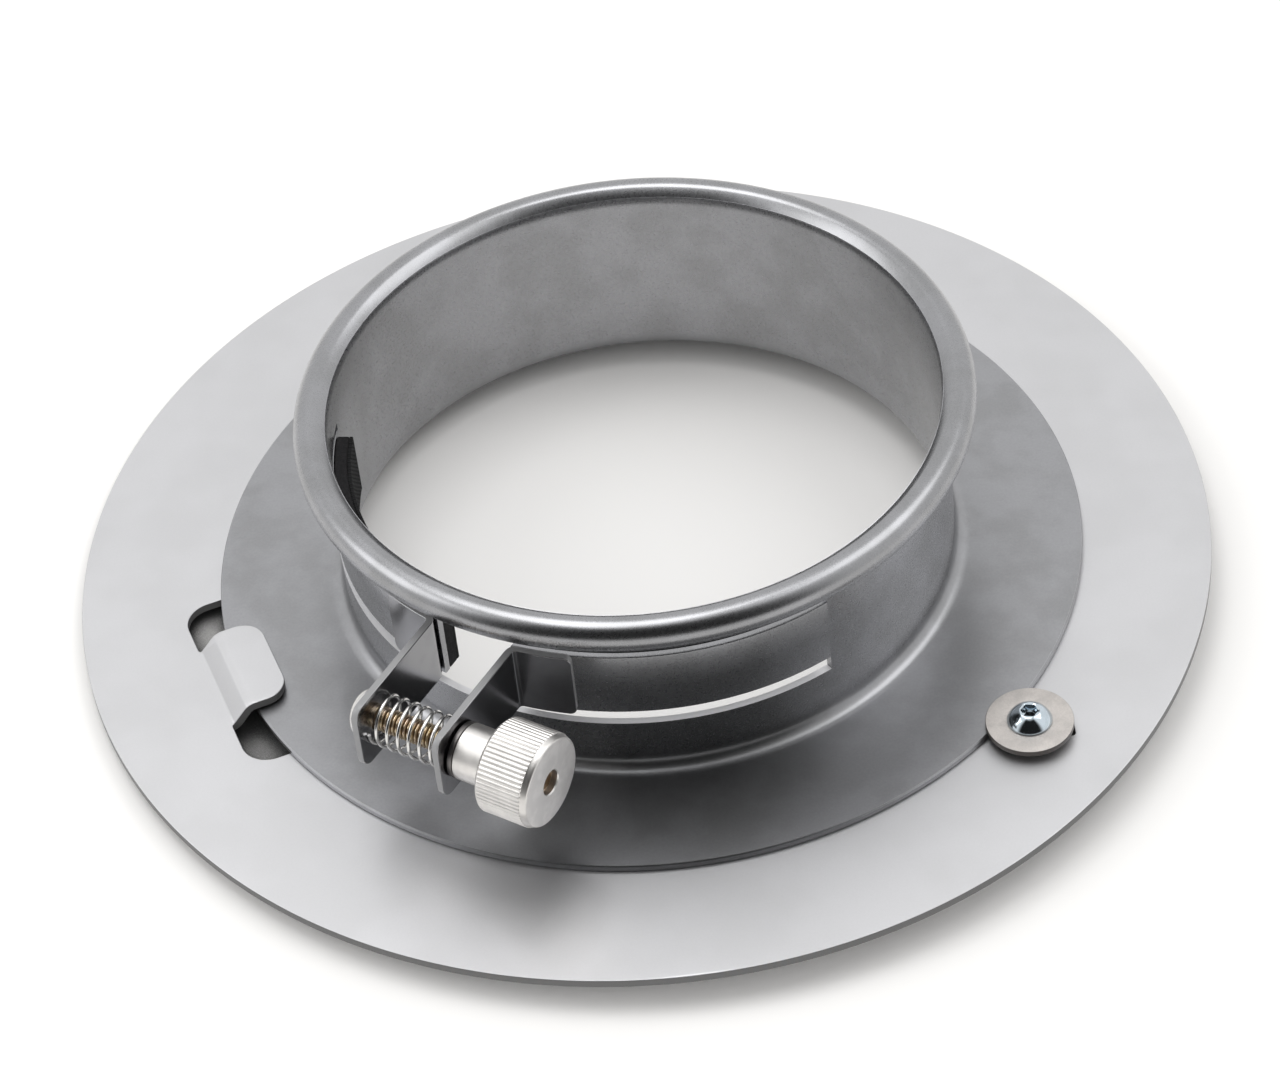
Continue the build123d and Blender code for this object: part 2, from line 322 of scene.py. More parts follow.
class BendLine:
    """The middle line of a bent sheet, walked by the length along it."""

    def __init__(self, points):
        self.points = np.array(points, float)
        steps = np.diff(self.points, axis=0)
        self.lengths = np.concatenate([[0], np.cumsum(reach_of(steps))])
        self.slopes = np.unwrap(np.arctan2(steps[:, 1], steps[:, 0]))
        self.middles = (self.lengths[1:] + self.lengths[:-1]) / 2
        self.length = float(self.lengths[-1])

    def at(self, along, off):
        """Place of a point that lies so far along the line and so far to its left."""
        x = np.interp(along, self.lengths, self.points[:, 0])
        y = np.interp(along, self.lengths, self.points[:, 1])
        slope = np.interp(along, self.middles, self.slopes)
        return x - off * math.sin(slope), y + off * math.cos(slope)

    def cuts(self, finest=0.3 * MM, turn=math.radians(6)):
        """Places where a blank needs a cut, so that it can follow the line."""
        found, last = [], None
        for along in np.arange(finest, self.length, finest):
            slope = np.interp(along, self.middles, self.slopes)
            if last is None or abs(slope - last) > turn:
                found.append(float(along))
                last = slope
        return found


def cut_across(mesh, places, chosen=lambda point: True):
    """Cuts the chosen part of a mesh by planes across X, which adds points to bend at."""
    work = bmesh.new()
    work.from_mesh(mesh)
    across = Vector((1, 0, 0))
    for place in places:
        faces = [face for face in work.faces if any(chosen(vertex.co) for vertex in face.verts)]
        parts = faces + list({e for f in faces for e in f.edges} | {v for f in faces for v in f.verts})
        bmesh.ops.bisect_plane(work, geom=parts, plane_co=across * place, plane_no=across, dist=1e-7)
    work.to_mesh(mesh)
    work.free()


# %% [markdown]
# Straps, linings and the spring are one section carried along a path. Their sections differ only a
# little from one to the next, so a plain skin between them is enough, with a cap at each end.


# %% Skins between sections
def skinned(sections):
    """Closed shape between equally long loops of points."""
    size = len(sections[0])
    vertices = [tuple(point) for section in sections for point in section]
    faces = []
    for base in range(0, len(vertices) - size, size):
        for k in range(size):
            after = (k + 1) % size
            faces.append((base + k, base + after, base + size + after, base + size + k))
    faces.append(tuple(range(size)))
    faces.append(tuple(range(len(vertices) - size, len(vertices))))
    return vertices, faces

# %% [markdown]
# The base ring is a laser-cut or blanked sheet. Its opening has two wide notches, and in each notch
# one tongue stays standing. The press sets the tongue up in an S, so that its flat end lies above
# the collar's flange and grips over it. A lathe couldn't make this piece, so it is a blank with
# bends. Where the tongue starts, how wide it is and how high it stands is measured from the
# construction model.


# %% Base ring, measured
BETWEEN_HOOKS = 140
ring_points = local_points("base_ring", RING)
hooks_z = float(ring_points[:, 2].max())
ring_sheet = float(ring_points[reach_of(ring_points) > 0.99 * ring_radius][:, 2].max())
raised = ring_points[ring_points[:, 2] > hooks_z - TINY]
raised_angles = np.degrees(np.arctan2(raised[:, 1], raised[:, 0])) % 360
on_first = raised_angles < BETWEEN_HOOKS
hook_ways = [raised_angles[on_first].mean(), raised_angles[~on_first].mean()]


def hook_sizes(way):
    """Sizes of one hook and its notch, in a frame whose X axis runs out through the hook."""
    x, y, z = local_points("base_ring", Matrix.Rotation(math.radians(way), 4, "Z")).T
    reach = np.hypot(x, y)
    raised = (z > ring_sheet + 0.5 * MM) & (x > 0)
    half_width = float(np.abs(y[raised]).max())
    top = raised & (z > hooks_z - TINY)
    under = (z < TINY) & (x > 0)
    foot = under & (np.abs(y) < half_width + TINY) & (x > ring_opening)
    notch = under & (reach > ring_opening + 0.1 * MM) & (reach < 0.9 * ring_radius)
    return {
        "half_width": half_width,
        "tip": float(x[top].min()),
        "flat_end": float(x[top].max()),
        "foot": float(x[foot].min()),
        "notch": float(x[notch].max()),
        "notch_half": float(np.abs(y[notch]).max()),
    }


hook = hook_sizes(hook_ways[0])
print({key: round(value / MM, 2) for key, value in hook.items()})

# %% Base ring, blanked and bent
FOOT_BEND, FOLD_BEND, BEND_LEAD = 1.5 * MM, 2.6 * MM, 0.3 * MM
NOTCH_CORNER, ROOT_CORNER, TONGUE_CORNER, SLOT_CORNER = 4.5 * MM, 0.5 * MM, 4.0 * MM, 0.5 * MM
RING_EDGE = 0.16 * MM
SLOT_SEARCH = 8 * MM
hook_rise = hooks_z - ring_sheet
hook_run = hook["foot"] - hook["flat_end"]
for _ in range(30):
    foot_reach = FOOT_BEND * math.tan(math.atan2(hook_rise, hook_run) / 2)
    hook_run = hook["foot"] - hook["flat_end"] - 2 * foot_reach
bend_start = hook["foot"] + BEND_LEAD
hook_corners = [
    (0, 0, 0),
    (bend_start - hook["foot"] + foot_reach, 0, FOOT_BEND),
    (bend_start - hook["flat_end"] - foot_reach, hook_rise, FOLD_BEND),
    (bend_start - hook["tip"], hook_rise, 0),
]
hook_line = BendLine(softened(hook_corners, steps=12, closed=False))
tongue_tip = bend_start - hook_line.length


def circle(radius, angles):
    """Points on a circle round the origin."""
    return [(radius * math.cos(a), radius * math.sin(a)) for a in angles]


def notch_outline():
    """One notch with its tongue, from one side of it to the other, in the hook's own frame."""
    wide, narrow, far = hook["notch_half"], hook["half_width"], hook["notch"]
    side = math.sqrt(ring_opening**2 - wide**2)
    half = [(side - MM, wide, 0), (side, wide, 0), (far, wide, NOTCH_CORNER)]
    half += [(far, narrow, ROOT_CORNER), (tongue_tip, narrow, TONGUE_CORNER)]
    corners = [(x, -y, r) for x, y, r in half] + half[::-1]
    return softened(corners, closed=False, steps=10)[1:-1]


def ring_outlines():
    """Flat outlines of the ring: its rim, its opening with both notches, and the screw's slot."""
    opening = []
    ways = [math.radians(way) for way in sorted(hook_ways)]
    half = math.asin(hook["notch_half"] / ring_opening)
    for way, next_way in ((ways[0], ways[1]), (ways[1], ways[0] + 2 * math.pi)):
        turn = Matrix.Rotation(way, 2)
        opening += [tuple(turn @ Vector(point)) for point in notch_outline()]
        opening += circle(ring_opening, np.linspace(way + half, next_way - half, 240)[1:-1])
    rim = circle(ring_radius, np.linspace(0, 2 * math.pi, 721)[:-1])
    x, y, z = local_points("base_ring", Matrix.Translation(screw_middle)).T
    near = np.hypot(x, y) < SLOT_SEARCH
    left, right, low, high = x[near].min(), x[near].max(), y[near].min(), y[near].max()
    corners = [(left, low), (right, low), (right, high), (left, high)]
    slot = [(screw_middle.x + x, screw_middle.y + y) for x, y in softened(corners, SLOT_CORNER)]
    return [rim, opening, slot]


def in_tongue(point):
    """Whether a point of the blank, turned to one hook's frame, lies in that hook's tongue."""
    along = tongue_tip - MM < point.x < bend_start + 1e-7
    return along and abs(point.y) < hook["half_width"] + TINY


ring_mesh = blank(ring_outlines(), ring_sheet, RING_EDGE)
mark(ring_mesh, "cut_edge", faces_sideways)
for way in hook_ways:
    turn = Matrix.Rotation(math.radians(way), 4, "Z")
    ring_mesh.transform(turn.inverted())
    cut_across(ring_mesh, [bend_start - along for along in [0.0, *hook_line.cuts()]], in_tongue)
    for vertex in ring_mesh.vertices:
        if in_tongue(vertex.co):
            along, height = hook_line.at(bend_start - vertex.co.x, vertex.co.z)
            vertex.co.x, vertex.co.z = bend_start - along, height
    ring_mesh.transform(turn)
base_ring = piece("ring_sheet", ring_mesh, Matrix.Translation((0, 0, ring_sheet / 2)), 40, weighted=True)
stand_for(base_ring, "base_ring", "base", "base_metal")
print("hooks at", [round(float(way), 1) for way in hook_ways])

# %% [markdown]
# The collar is spun or deep drawn from one sheet, and its rim is rolled outward into a bead. The
# bead stiffens the thin wall and gives the hand a round edge. So one line describes the sheet's
# middle, from the flange's edge round the bend, up the wall and round the curl, and its two sides
# lie half a sheet off. Below the curl the rolling pulls the wall outward a little, so the line
# leans there.


# %% Collar's section
COLUMNS = 720
FLANGE_BEND, LIP_GAP, SHEET_EDGE = 2.5 * MM, 0.25 * MM, 0.2 * MM
FLARE_LEAN = 23
KNEE_REACH = 0.8 * MM
collar_sheet = strap_outer - strap_inner
wall_middle = (strap_outer + strap_inner) / 2
flange_top = flange_bottom + collar_sheet
collar_points = local_points("collar", COLLAR)
collar_reach, collar_heights = reach_of(collar_points), collar_points[:, 2]
bead_radius = (float(collar_reach[collar_heights > 0.8 * collar_top].max()) - strap_inner) / 2
bead_height = collar_top - bead_radius
at_window = (np.abs(collar_reach - strap_outer) < TINY) & (collar_heights < bead_height - bead_radius)
at_window &= (collar_heights > 0.6 * strap_bottom) & (collar_points[:, 0] > 0)
window_heights = collar_heights[at_window]
window_low, window_high = float(window_heights.min()), float(window_heights.max())
window_half = float(np.arctan2(np.abs(collar_points[:, 1]), collar_points[:, 0])[at_window].max())
print("bead", bead_radius, "window", window_low, window_high, "to", round(math.degrees(window_half), 2))

curl = bead_radius - collar_sheet / 2
curl_middle = Vector((wall_middle + curl, bead_height))
bend = FLANGE_BEND + collar_sheet / 2
flange_middle = flange_bottom + collar_sheet / 2
lip = math.degrees(math.asin((curl - collar_sheet - LIP_GAP) / curl))
middle_line = [(flange_radius, flange_middle)]
middle_line += [(x, flange_middle) for x in np.linspace(flange_radius - MM, wall_middle + bend + MM, 12)]
middle_line += arc((wall_middle + bend, flange_middle + bend), bend, 270, 180, 12)
for low, high, count in ((middle_line[-1][1], window_low, 5), (window_low, window_high, 9)):
    middle_line += [(wall_middle, z) for z in np.linspace(low, high, count)[1:]]
lean_way = Vector((math.sin(math.radians(FLARE_LEAN)), math.cos(math.radians(FLARE_LEAN))))
lean_top = curl_middle + curl * Vector((-lean_way.y, lean_way.x))
knee = lean_top - lean_way * ((lean_top.x - wall_middle) / lean_way.x)
knee_start, knee_end = knee - Vector((0, KNEE_REACH)), knee + KNEE_REACH * lean_way
pulls = [(end + knee * 2) / 3 for end in (knee_start, knee_end)]
middle_line += [(wall_middle, (window_high + knee_start.y) / 2)]
middle_line += [tuple(point.xy) for point in geometry.interpolate_bezier(knee_start, *pulls, knee_end, 8)]
middle_line += [tuple(knee_end.lerp(lean_top, step / 5)) for step in range(1, 5)]
middle_line += arc(curl_middle, curl, 90 + FLARE_LEAN, -90 - lip, 32)


def both_sides(line, thickness, edge):
    """Closed section of a sheet of one thickness along its middle line, with softened ends."""
    points = np.array(line)
    ways = np.gradient(points, axis=0)
    ways /= reach_of(ways)[:, None]
    normals = np.stack([-ways[:, 1], ways[:, 0]], axis=1)
    left, right = points + normals * thickness / 2, points - normals * thickness / 2
    for side in (left, right):
        side[0] += ways[0] * edge
        side[-1] -= ways[-1] * edge
    inset = thickness / 2 - edge
    start = [points[0] - normals[0] * inset, points[0] + normals[0] * inset]
    end = [points[-1] + normals[-1] * inset, points[-1] - normals[-1] * inset]
    return [tuple(point) for point in [*start, *left, *end, *right[::-1]]]


section = both_sides(middle_line, collar_sheet, SHEET_EDGE)
collar_vertices, collar_faces = turned(section, COLUMNS, closed=True)
print("collar section of", len(section), "points")

# %% [markdown]
# The window is cut through the wall between two rows and two columns of the grid, and the faces
# inside it are left out. New faces across the sheet then close its edge. Above and below the straps
# they are a punch's cut, and are marked so. At the straps' roots the real sheet simply goes on, so
# there the faces get another mark, which keeps the finish from drawing an edge.


# %% Collar with its window
ROOT_HALF_WIDTH = 1.2 * MM
window_columns = round(window_half / (2 * math.pi) * COLUMNS)
root = 2 * math.pi * window_columns / COLUMNS


def in_window(face):
    """Whether a face of the wall lies inside the window."""
    corners = [(index // COLUMNS, index % COLUMNS) for index in face]
    sides = [column if column <= COLUMNS // 2 else column - COLUMNS for row, column in corners]
    heights = [section[row][1] for row, column in corners]
    reach = max(section[row][0] for row, column in corners)
    inside = min(heights) > window_low - 1e-7 and max(heights) < window_high + 1e-7
    return inside and reach < strap_outer + TINY and max(map(abs, sides)) <= window_columns


def place_on_wall(vertex):
    """Column and height of a vertex, which are the same on both sides of the sheet."""
    return vertex.index % COLUMNS, round(vertex.co.z / MM, 4)


def is_inner(vertex):
    """Whether a vertex lies on the wall's inner side."""
    return vertex.co.xy.length < wall_middle


def near_root(face):
    """Whether a face of the wall lies at a strap's root, where the sheet goes on without an edge."""
    angle = math.atan2(abs(face.center.y), face.center.x)
    return abs(angle - root) < ROOT_HALF_WIDTH / strap_outer and window_low < face.center.z < window_high


collar_mesh = mesh_of((collar_vertices, [face for face in collar_faces if not in_window(face)]))
work = bmesh.new()
work.from_mesh(collar_mesh)
cut_edge, one_sheet = (work.faces.layers.float.new(name) for name in ("cut_edge", "one_sheet"))
open_edges = [edge for edge in work.edges if edge.is_boundary]
inner_side = {place_on_wall(end): end for edge in open_edges for end in edge.verts if is_inner(end)}
for edge in open_edges:
    first, second = edge.verts
    if is_inner(first):
        continue
    across = [inner_side[place_on_wall(second)], inner_side[place_on_wall(first)]]
    face = work.faces.new([first, second, *across])
    upright = abs(first.co.z - second.co.z) > TINY
    face[one_sheet if upright else cut_edge] = 1
loose = [vertex for vertex in work.verts if not vertex.link_faces]
bmesh.ops.delete(work, geom=loose, context="VERTS")
work.to_mesh(collar_mesh)
work.free()
mark(collar_mesh, "one_sheet", near_root)
stand_for(piece("collar_shell", collar_mesh, COLLAR, 40), "collar", "collar", "collar_steel")

# %% [markdown]
# The straps are the strips of the wall that the two slots leave. Each ends at the clamp with its
# lining inside and its bracket outside. On the real collar a strap has no hinge: it is one sheet
# with the wall at its root and bends there. So the strap's mesh ends where the window ends, and its
# faces at the root carry the same mark as the wall there, so no edge is drawn. The lining is a strip
# of felt with a thin woven facing, which lies on the felt's inner side.


# %% Straps and linings
FELT_SCALE, FELT_HEIGHT = 900, 0.06 * MM
strap_start = span("strap_right", COLLAR, 1)[0]
lining_outer = radii("lining_pad_right", COLLAR)[1]
lining_points = local_points("lining_pad_right", COLLAR)
lining_end = float(np.arctan2(lining_points[:, 1], lining_points[:, 0]).max())
facing_inner, facing_outer = radii("lining_facing_right", COLLAR)
lining_bottom, lining_top = span("lining_pad_right", COLLAR)


def strip(side, inner, outer, low, high, end, steps, edge, ripple=None):
    """Upright strip round the collar's axis, from the flat cut at the clamp to an angle."""
    corners = [(inner, low), (outer, low), (outer, high), (inner, high)]
    outline = softened(corners, edge, steps=3)
    outline += [(inner, z) for z in np.linspace(high - edge, low + edge, 12)[1:-1]]
    sections = []
    for step in range(steps + 1):
        loop = []
        for radius, height in outline:
            start = math.asin(strap_start / radius)
            angle = start + (end - start) * step / steps
            reach = radius + (ripple(radius, angle, height) if ripple else 0)
            loop.append((reach * math.cos(angle), side * reach * math.sin(angle), height))
        sections.append(loop)
    return mesh_of(skinned(sections))


def felt(radius, angle, height):
    """Small unevenness of a felt's surface."""
    place = Vector((radius * math.cos(angle), radius * math.sin(angle), height)) * FELT_SCALE
    return FELT_HEIGHT * noise.noise(place)


def over_the_root(made):
    """Bakes a strip's placement into its mesh."""
    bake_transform(made)


for side_name, side in (("right", 1), ("left", -1)):
    wall_strip = strip(side, strap_inner, strap_outer, strap_bottom, strap_top, root, 128, 0.15 * MM)
    mark(wall_strip, "one_sheet", near_root)
    lining = (lining_bottom, lining_top, lining_end, 160)
    pad_strip = strip(side, facing_outer, lining_outer, *lining, 0.35 * MM, felt)
    facing_strip = strip(side, facing_inner, facing_outer, *lining, 0.2 * MM)
    strap = piece(f"strap_{side_name}_sheet", wall_strip, COLLAR, 40)
    pad = piece(f"lining_{side_name}_felt", pad_strip, COLLAR, 40)
    facing = piece(f"lining_{side_name}_weave", facing_strip, COLLAR, 40)
    stand_for(strap, f"strap_{side_name}", None, "collar_steel")
    stand_for(pad, f"lining_pad_{side_name}", None, "pad_felt")
    stand_for(facing, f"lining_facing_{side_name}", None, "pad_weave")
    for made in (strap, pad, facing):
        over_the_root(made)

# %% [markdown]
# Each bracket is a small L of sheet. Its foot is rolled to the wall's curve and spot-welded to the
# strap, and its ear stands out square with a hole for the bolt. The blank is a rounded rectangle
# whose length is that of the bent middle line. The foot's curve is a bend line too, only a slack one.


# %% Brackets
EAR_BEND, EAR_CORNER, FOOT_CORNER = 1.2 * MM, 2.2 * MM, 1.2 * MM
EAR_HOLE, BRACKET_EDGE = 2.35 * MM, 0.14 * MM
bracket_low, bracket_high = span("clamp_bracket_right", COLLAR)
bracket_points = local_points("clamp_bracket_right", COLLAR)
ear_inner, foot_end = span("clamp_bracket_right", COLLAR, 1)
ear_end = span("clamp_bracket_right", COLLAR, 0)[1]
toe_reach = reach_of(bracket_points)[bracket_points[:, 1] > foot_end - TINY]
bracket_sheet = float(toe_reach.max() - toe_reach.min())
foot_middle = float(toe_reach.max() + toe_reach.min()) / 2
bracket_middle = (bracket_high + bracket_low) / 2
half_height = (bracket_high - bracket_low) / 2
ear_middle = ear_inner + bracket_sheet / 2
heel, toe = math.asin(ear_middle / foot_middle), math.asin(foot_end / foot_middle)
foot_arc = circle(foot_middle, np.linspace(heel, toe, 22))
ear_corners = [(ear_end, ear_middle), (*foot_arc[0], EAR_BEND), *[(*point, 0) for point in foot_arc[4:]]]
bracket_line = BendLine(softened(ear_corners, steps=10, closed=False))
blank_corners = [
    (0, -half_height, EAR_CORNER),
    (bracket_line.length, -half_height, FOOT_CORNER),
    (bracket_line.length, half_height, FOOT_CORNER),
    (0, half_height, EAR_CORNER),
]
bolt_place = (ear_end - (COLLAR.inverted() @ BOLT.translation).x, BOLT.translation.z - bracket_middle)
hole = arc(bolt_place, EAR_HOLE, 0, 360, 48)[:-1]
bend_zone = ear_end - foot_arc[0][0] - 2 * MM
for side_name, side in (("right", 1), ("left", -1)):
    mesh = blank([softened(blank_corners, steps=8), hole], bracket_sheet, BRACKET_EDGE)
    mark(mesh, "cut_edge", faces_sideways)
    cut_across(mesh, [bend_zone + x for x in np.arange(0, 14 * MM, 0.4 * MM)])
    for vertex in mesh.vertices:
        x, y = bracket_line.at(vertex.co.x, vertex.co.z)
        vertex.co = (x, side * y, bracket_middle + vertex.co.y)
    bracket = piece(f"bracket_{side_name}", mesh, COLLAR, 35, weighted=True)
    stand_for(bracket, f"clamp_bracket_{side_name}", f"{side_name}_strap", "bracket_steel")

# %% [markdown]
# The clamp bolt is an M4 screw with a rolled thread of 0.7 millimetre pitch. A thread is one groove
# that climbs by the pitch in each turn. On a turned grid that is a radius which depends on the
# height less the angle's share of a pitch. The groove is 60 degrees wide with a rounded root, and
# it fades out under the head and at the tip's chamfer.


# %% Threads and hexagons
PITCH, THREAD_DEPTH = 0.7 * MM, 0.4 * MM
CREST_SHARE, FLANK_SHARE = 0.12, 0.7


def thread(outer, low, high):
    """Radius function of a screw thread between two heights."""

    def reach(radius, height, angle):
        if radius < outer - 1.5 * THREAD_DEPTH or not low <= height <= high:
            return radius
        phase = (height / PITCH - angle / (2 * math.pi)) % 1
        groove = max(0.0, min(1.0, (abs(phase - 0.5) * 2 - CREST_SHARE) / FLANK_SHARE))
        fade = min(1.0, (height - low) / PITCH, (high - height) / PITCH)
        return min(radius, outer - THREAD_DEPTH * (1 - groove) * fade)

    return reach


def hexagon(across_flats):
    """Radius function of a hexagon, never wider than the profile, so a cone trims its corners."""

    def reach(radius, height, angle):
        if radius < across_flats * 0.45:
            return radius
        turn = (angle + math.pi / 6) % (math.pi / 3) - math.pi / 6
        return min(radius, across_flats / 2 / math.cos(turn))

    return reach


def upright(radius, low, high, step):
    """Evenly spaced rows of a profile at one radius, from low to high."""
    count = max(2, round(abs(high - low) / step) + 1)
    return [(radius, z) for z in np.linspace(low, high, count)]


def moved(offsets, radius, height):
    """Rows of a profile, given in millimetres outward and upward from one radius and height."""
    return [(radius + outward * MM, height + upward * MM) for outward, upward in offsets]


# %% Clamp bolt
HEAD_CROWN = 1.6 * MM
bolt_low, bolt_high = span("clamp_bolt", BOLT)
head_radius = radii("clamp_bolt", BOLT)[1]
bolt_points = local_points("clamp_bolt", BOLT)
bolt_radius = float(reach_of(bolt_points)[bolt_points[:, 2] > 0].max())
head_face = float(bolt_points[reach_of(bolt_points) > head_radius - TINY][:, 2].max())
crown = (head_radius - 0.2 * MM, bolt_low + 0.1 * MM, HEAD_CROWN)
bolt_profile = softened([(0, bolt_low), crown, (head_radius, head_face, 0)], steps=8, closed=False)
bolt_profile += [(head_radius, head_face), *moved([(0.12, 0), (0, 0.12)], bolt_radius, head_face)]
bolt_profile += upright(bolt_radius, head_face + 0.2 * MM, bolt_high - 0.5 * MM, PITCH / 8)
bolt_profile += [(bolt_radius - 0.45 * MM, bolt_high), (0, bolt_high)]
bolt_thread = thread(bolt_radius, head_face + 2 * MM, bolt_high)
bolt = piece("clamp_bolt_m4", mesh_of(turned(bolt_profile, 40, bolt_thread)), BOLT, 45)
stand_for(bolt, "clamp_bolt", "bolt", "bolt_zinc")

# %% [markdown]
# The spring keeps both ears apart when the nut is slack. Its last turn on each side lies almost
# flat, so that it sits on the ear. Its pitch therefore starts at about one wire's width, widens, and
# closes again. When the nut is screwed in, the spring gets shorter between the ears. Each ear then
# leans a little, so the spring's ends keep a small distance.


# %% Clamp spring
WIRE = 0.3 * MM
TURNS, STEPS = 7, 360
CLOSED_PITCH, WIDER_PITCH, CLOSING_TURNS = 0.9 * MM, 1.9 * MM, 0.8
spring_low, spring_high = span("clamp_spring", BOLT)
coil_radius = radii("clamp_spring", BOLT)[1] - WIRE
along = np.linspace(0, 1, STEPS + 1)
opened = np.clip(np.minimum(along, 1 - along) * TURNS / CLOSING_TURNS, 0, 1)
rise = np.cumsum(CLOSED_PITCH + opened * WIDER_PITCH)
rise = (rise - rise[0]) / (rise[-1] - rise[0]) * (spring_high - spring_low - 2 * WIRE) + spring_low + WIRE
wire_ways = circle(WIRE, np.linspace(0, 2 * math.pi, 13)[:-1])
loops = []
for share, height in zip(along, rise):
    angle = 2 * math.pi * TURNS * share
    out = Vector((math.cos(angle), math.sin(angle), 0))
    loops.append([out * (coil_radius + x) + Vector((0, 0, height + y)) for x, y in wire_ways])
spring = piece("clamp_spring_coil", mesh_of(skinned(loops)), BOLT, 60)
stand_for(spring, "clamp_spring", "bolt", "spring_nickel")
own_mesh(spring)

# %% [markdown]
# The thumb nut is turned from one bar: a slim hub that bears on the washer, and a knob with
# straight flutes pressed in by a knurling wheel. The wheel leaves a whole number of flutes, here one
# every 0.8 millimetre, and they run out on the chamfers. The hole goes right through, and the bolt
# ends one millimetre inside it.


# %% Thumb nut and thrust washer
FLUTES, FLUTE_DEPTH = 60, 0.16 * MM
BACK_CHAMFER, PLAIN_BAND, HUB_FILLET = 0.5 * MM, 1.1 * MM, 0.3 * MM
nut_low, nut_high = span("thumb_nut", BOLT)
bore, knob_radius = radii("thumb_nut", BOLT)
nut_points = local_points("thumb_nut", BOLT)
nut_reach = reach_of(nut_points)
hub_radius = float(nut_reach[nut_points[:, 2] < nut_low + TINY].max())
knob_low = float(nut_points[nut_reach > hub_radius + 0.1 * MM][:, 2].min())
band_low = nut_high - PLAIN_BAND


def knurl(radius, height, angle):
    """Flutes along the knob: broad rounded crests with narrow grooves between them."""
    if radius < knob_radius - 0.5 * MM:
        return radius
    wave = abs(math.sin(angle * FLUTES / 2))
    return min(radius, knob_radius - FLUTE_DEPTH * (1 - wave**0.7))


nut_profile = [(bore, nut_low + 0.2 * MM), (bore + 0.2 * MM, nut_low)]
nut_profile += moved([(-0.2, 0), (0, 0.2)], hub_radius, nut_low)
nut_profile += upright(hub_radius, nut_low + 0.4 * MM, knob_low - HUB_FILLET, 0.8 * MM)
nut_profile += arc((hub_radius + HUB_FILLET, knob_low - HUB_FILLET), HUB_FILLET, 180, 90, 4)
nut_profile += [(x, knob_low) for x in (hub_radius + 0.5 * MM, knob_radius - BACK_CHAMFER - 0.1 * MM)]
for t in (0, 0.25, 0.5, 0.62, 0.75, 0.88, 1):
    nut_profile.append((knob_radius - BACK_CHAMFER * (1 - t), knob_low + BACK_CHAMFER * t))
nut_profile += upright(knob_radius, knob_low + 0.6 * MM, band_low - 0.1 * MM, 0.5 * MM)
band_rows = [(0.02, 0), (0.1, 0.04), (0.17, 0.1), (0.2, 0.18), (0.3, 0.5), (0.4, 0.8)]
for inward, share in [*band_rows, (0.47, 0.92), (0.6, 0.98)]:
    nut_profile.append((knob_radius - inward * MM, band_low + share * PLAIN_BAND))
nut_profile.append((knob_radius - 0.75 * MM, nut_high))
nut_profile += moved([(0.5, 0), (0.18, 0), (0, -0.18)], bore, nut_high)
nut_profile += upright(bore, nut_high - 0.4 * MM, nut_low + 0.3 * MM, PITCH)
nut_shape = turned(nut_profile, FLUTES * 8, knurl, closed=True)
thumb_nut = piece("thumb_nut_knurled", mesh_of(nut_shape), BOLT, 40)
stand_for(thumb_nut, "thumb_nut", "thumb_nut", "knob_nickel")


def flat_washer(name, node, matrix, bore_edge, rim_edge, columns=128):
    """Washer with a sheared rim, its corners softened by two radii in millimetres."""
    low, high = span(node, matrix)
    inner, outer = radii(node, matrix)
    bore_edge, rim_edge = bore_edge * MM, rim_edge * MM
    corners = [(inner, low, bore_edge), (outer, low, rim_edge)]
    corners += [(outer, high, rim_edge), (inner, high, bore_edge)]
    return piece(name, mesh_of(turned(softened(corners), columns, closed=True)), matrix)


thrust = flat_washer("thrust_washer_disc", "thrust_washer", BOLT, 0.08, 0.12)
stand_for(thrust, "thrust_washer", "thrust_washer", "thrust_steel")

# %% [markdown]
# The retaining screw is a button-head screw with a hexagon socket. The washer under it is wide and
# heavy, with a rounded rim from the punch, and a bush as thick as the flange keeps it level. Under
# the ring a lock nut with a nylon insert lets the screw stay slack without coming undone.


# %% Retaining washer, bush and screw
washer = flat_washer("retaining_washer_disc", "retaining_washer", SCREW, 0.1, 0.12)
mark(washer.data, "cut_edge", faces_sideways)
stand_for(washer, "retaining_washer", "retaining_washer", "washer_zinc")
bush = flat_washer("spacer_bush_ring", "spacer_bush", SCREW, 0.1, 0.15, 96)
stand_for(bush, "spacer_bush", "retainer", "nut_zinc")

SOCKET_FLATS, SOCKET_DEPTH, DOME_DROP, SHANK_GAP = 2.5 * MM, 1.25 * MM, 1.4 * MM, 0.05 * MM
CORNER_SHARE = 0.577
screw_low, screw_high = span("retaining_screw", SCREW)
screw_head_radius = radii("retaining_screw", SCREW)[1]
seat = span("retaining_washer", SCREW)[1]
shank = radii("spacer_bush", SCREW)[0] - SHANK_GAP
socket_floor = screw_high - SOCKET_DEPTH
socket_corner = CORNER_SHARE * SOCKET_FLATS
dome_middle = seat - DOME_DROP
dome_side = (screw_head_radius, seat + 0.2 * MM - dome_middle)
sphere = math.hypot(*dome_side)
dome_start, dome_stop = math.atan2(dome_side[1], dome_side[0]), math.asin((screw_high - dome_middle) / sphere)


def screw_wave(radius, height, angle):
    """Hexagon in the socket, and the thread's groove on the shank."""
    if height > socket_floor - 1e-7 and radius < SOCKET_FLATS * 0.6:
        return hexagon(SOCKET_FLATS)(radius, height, angle)
    return thread(shank, screw_low, seat - 1.2 * MM)(radius, height, angle) if height < seat else radius


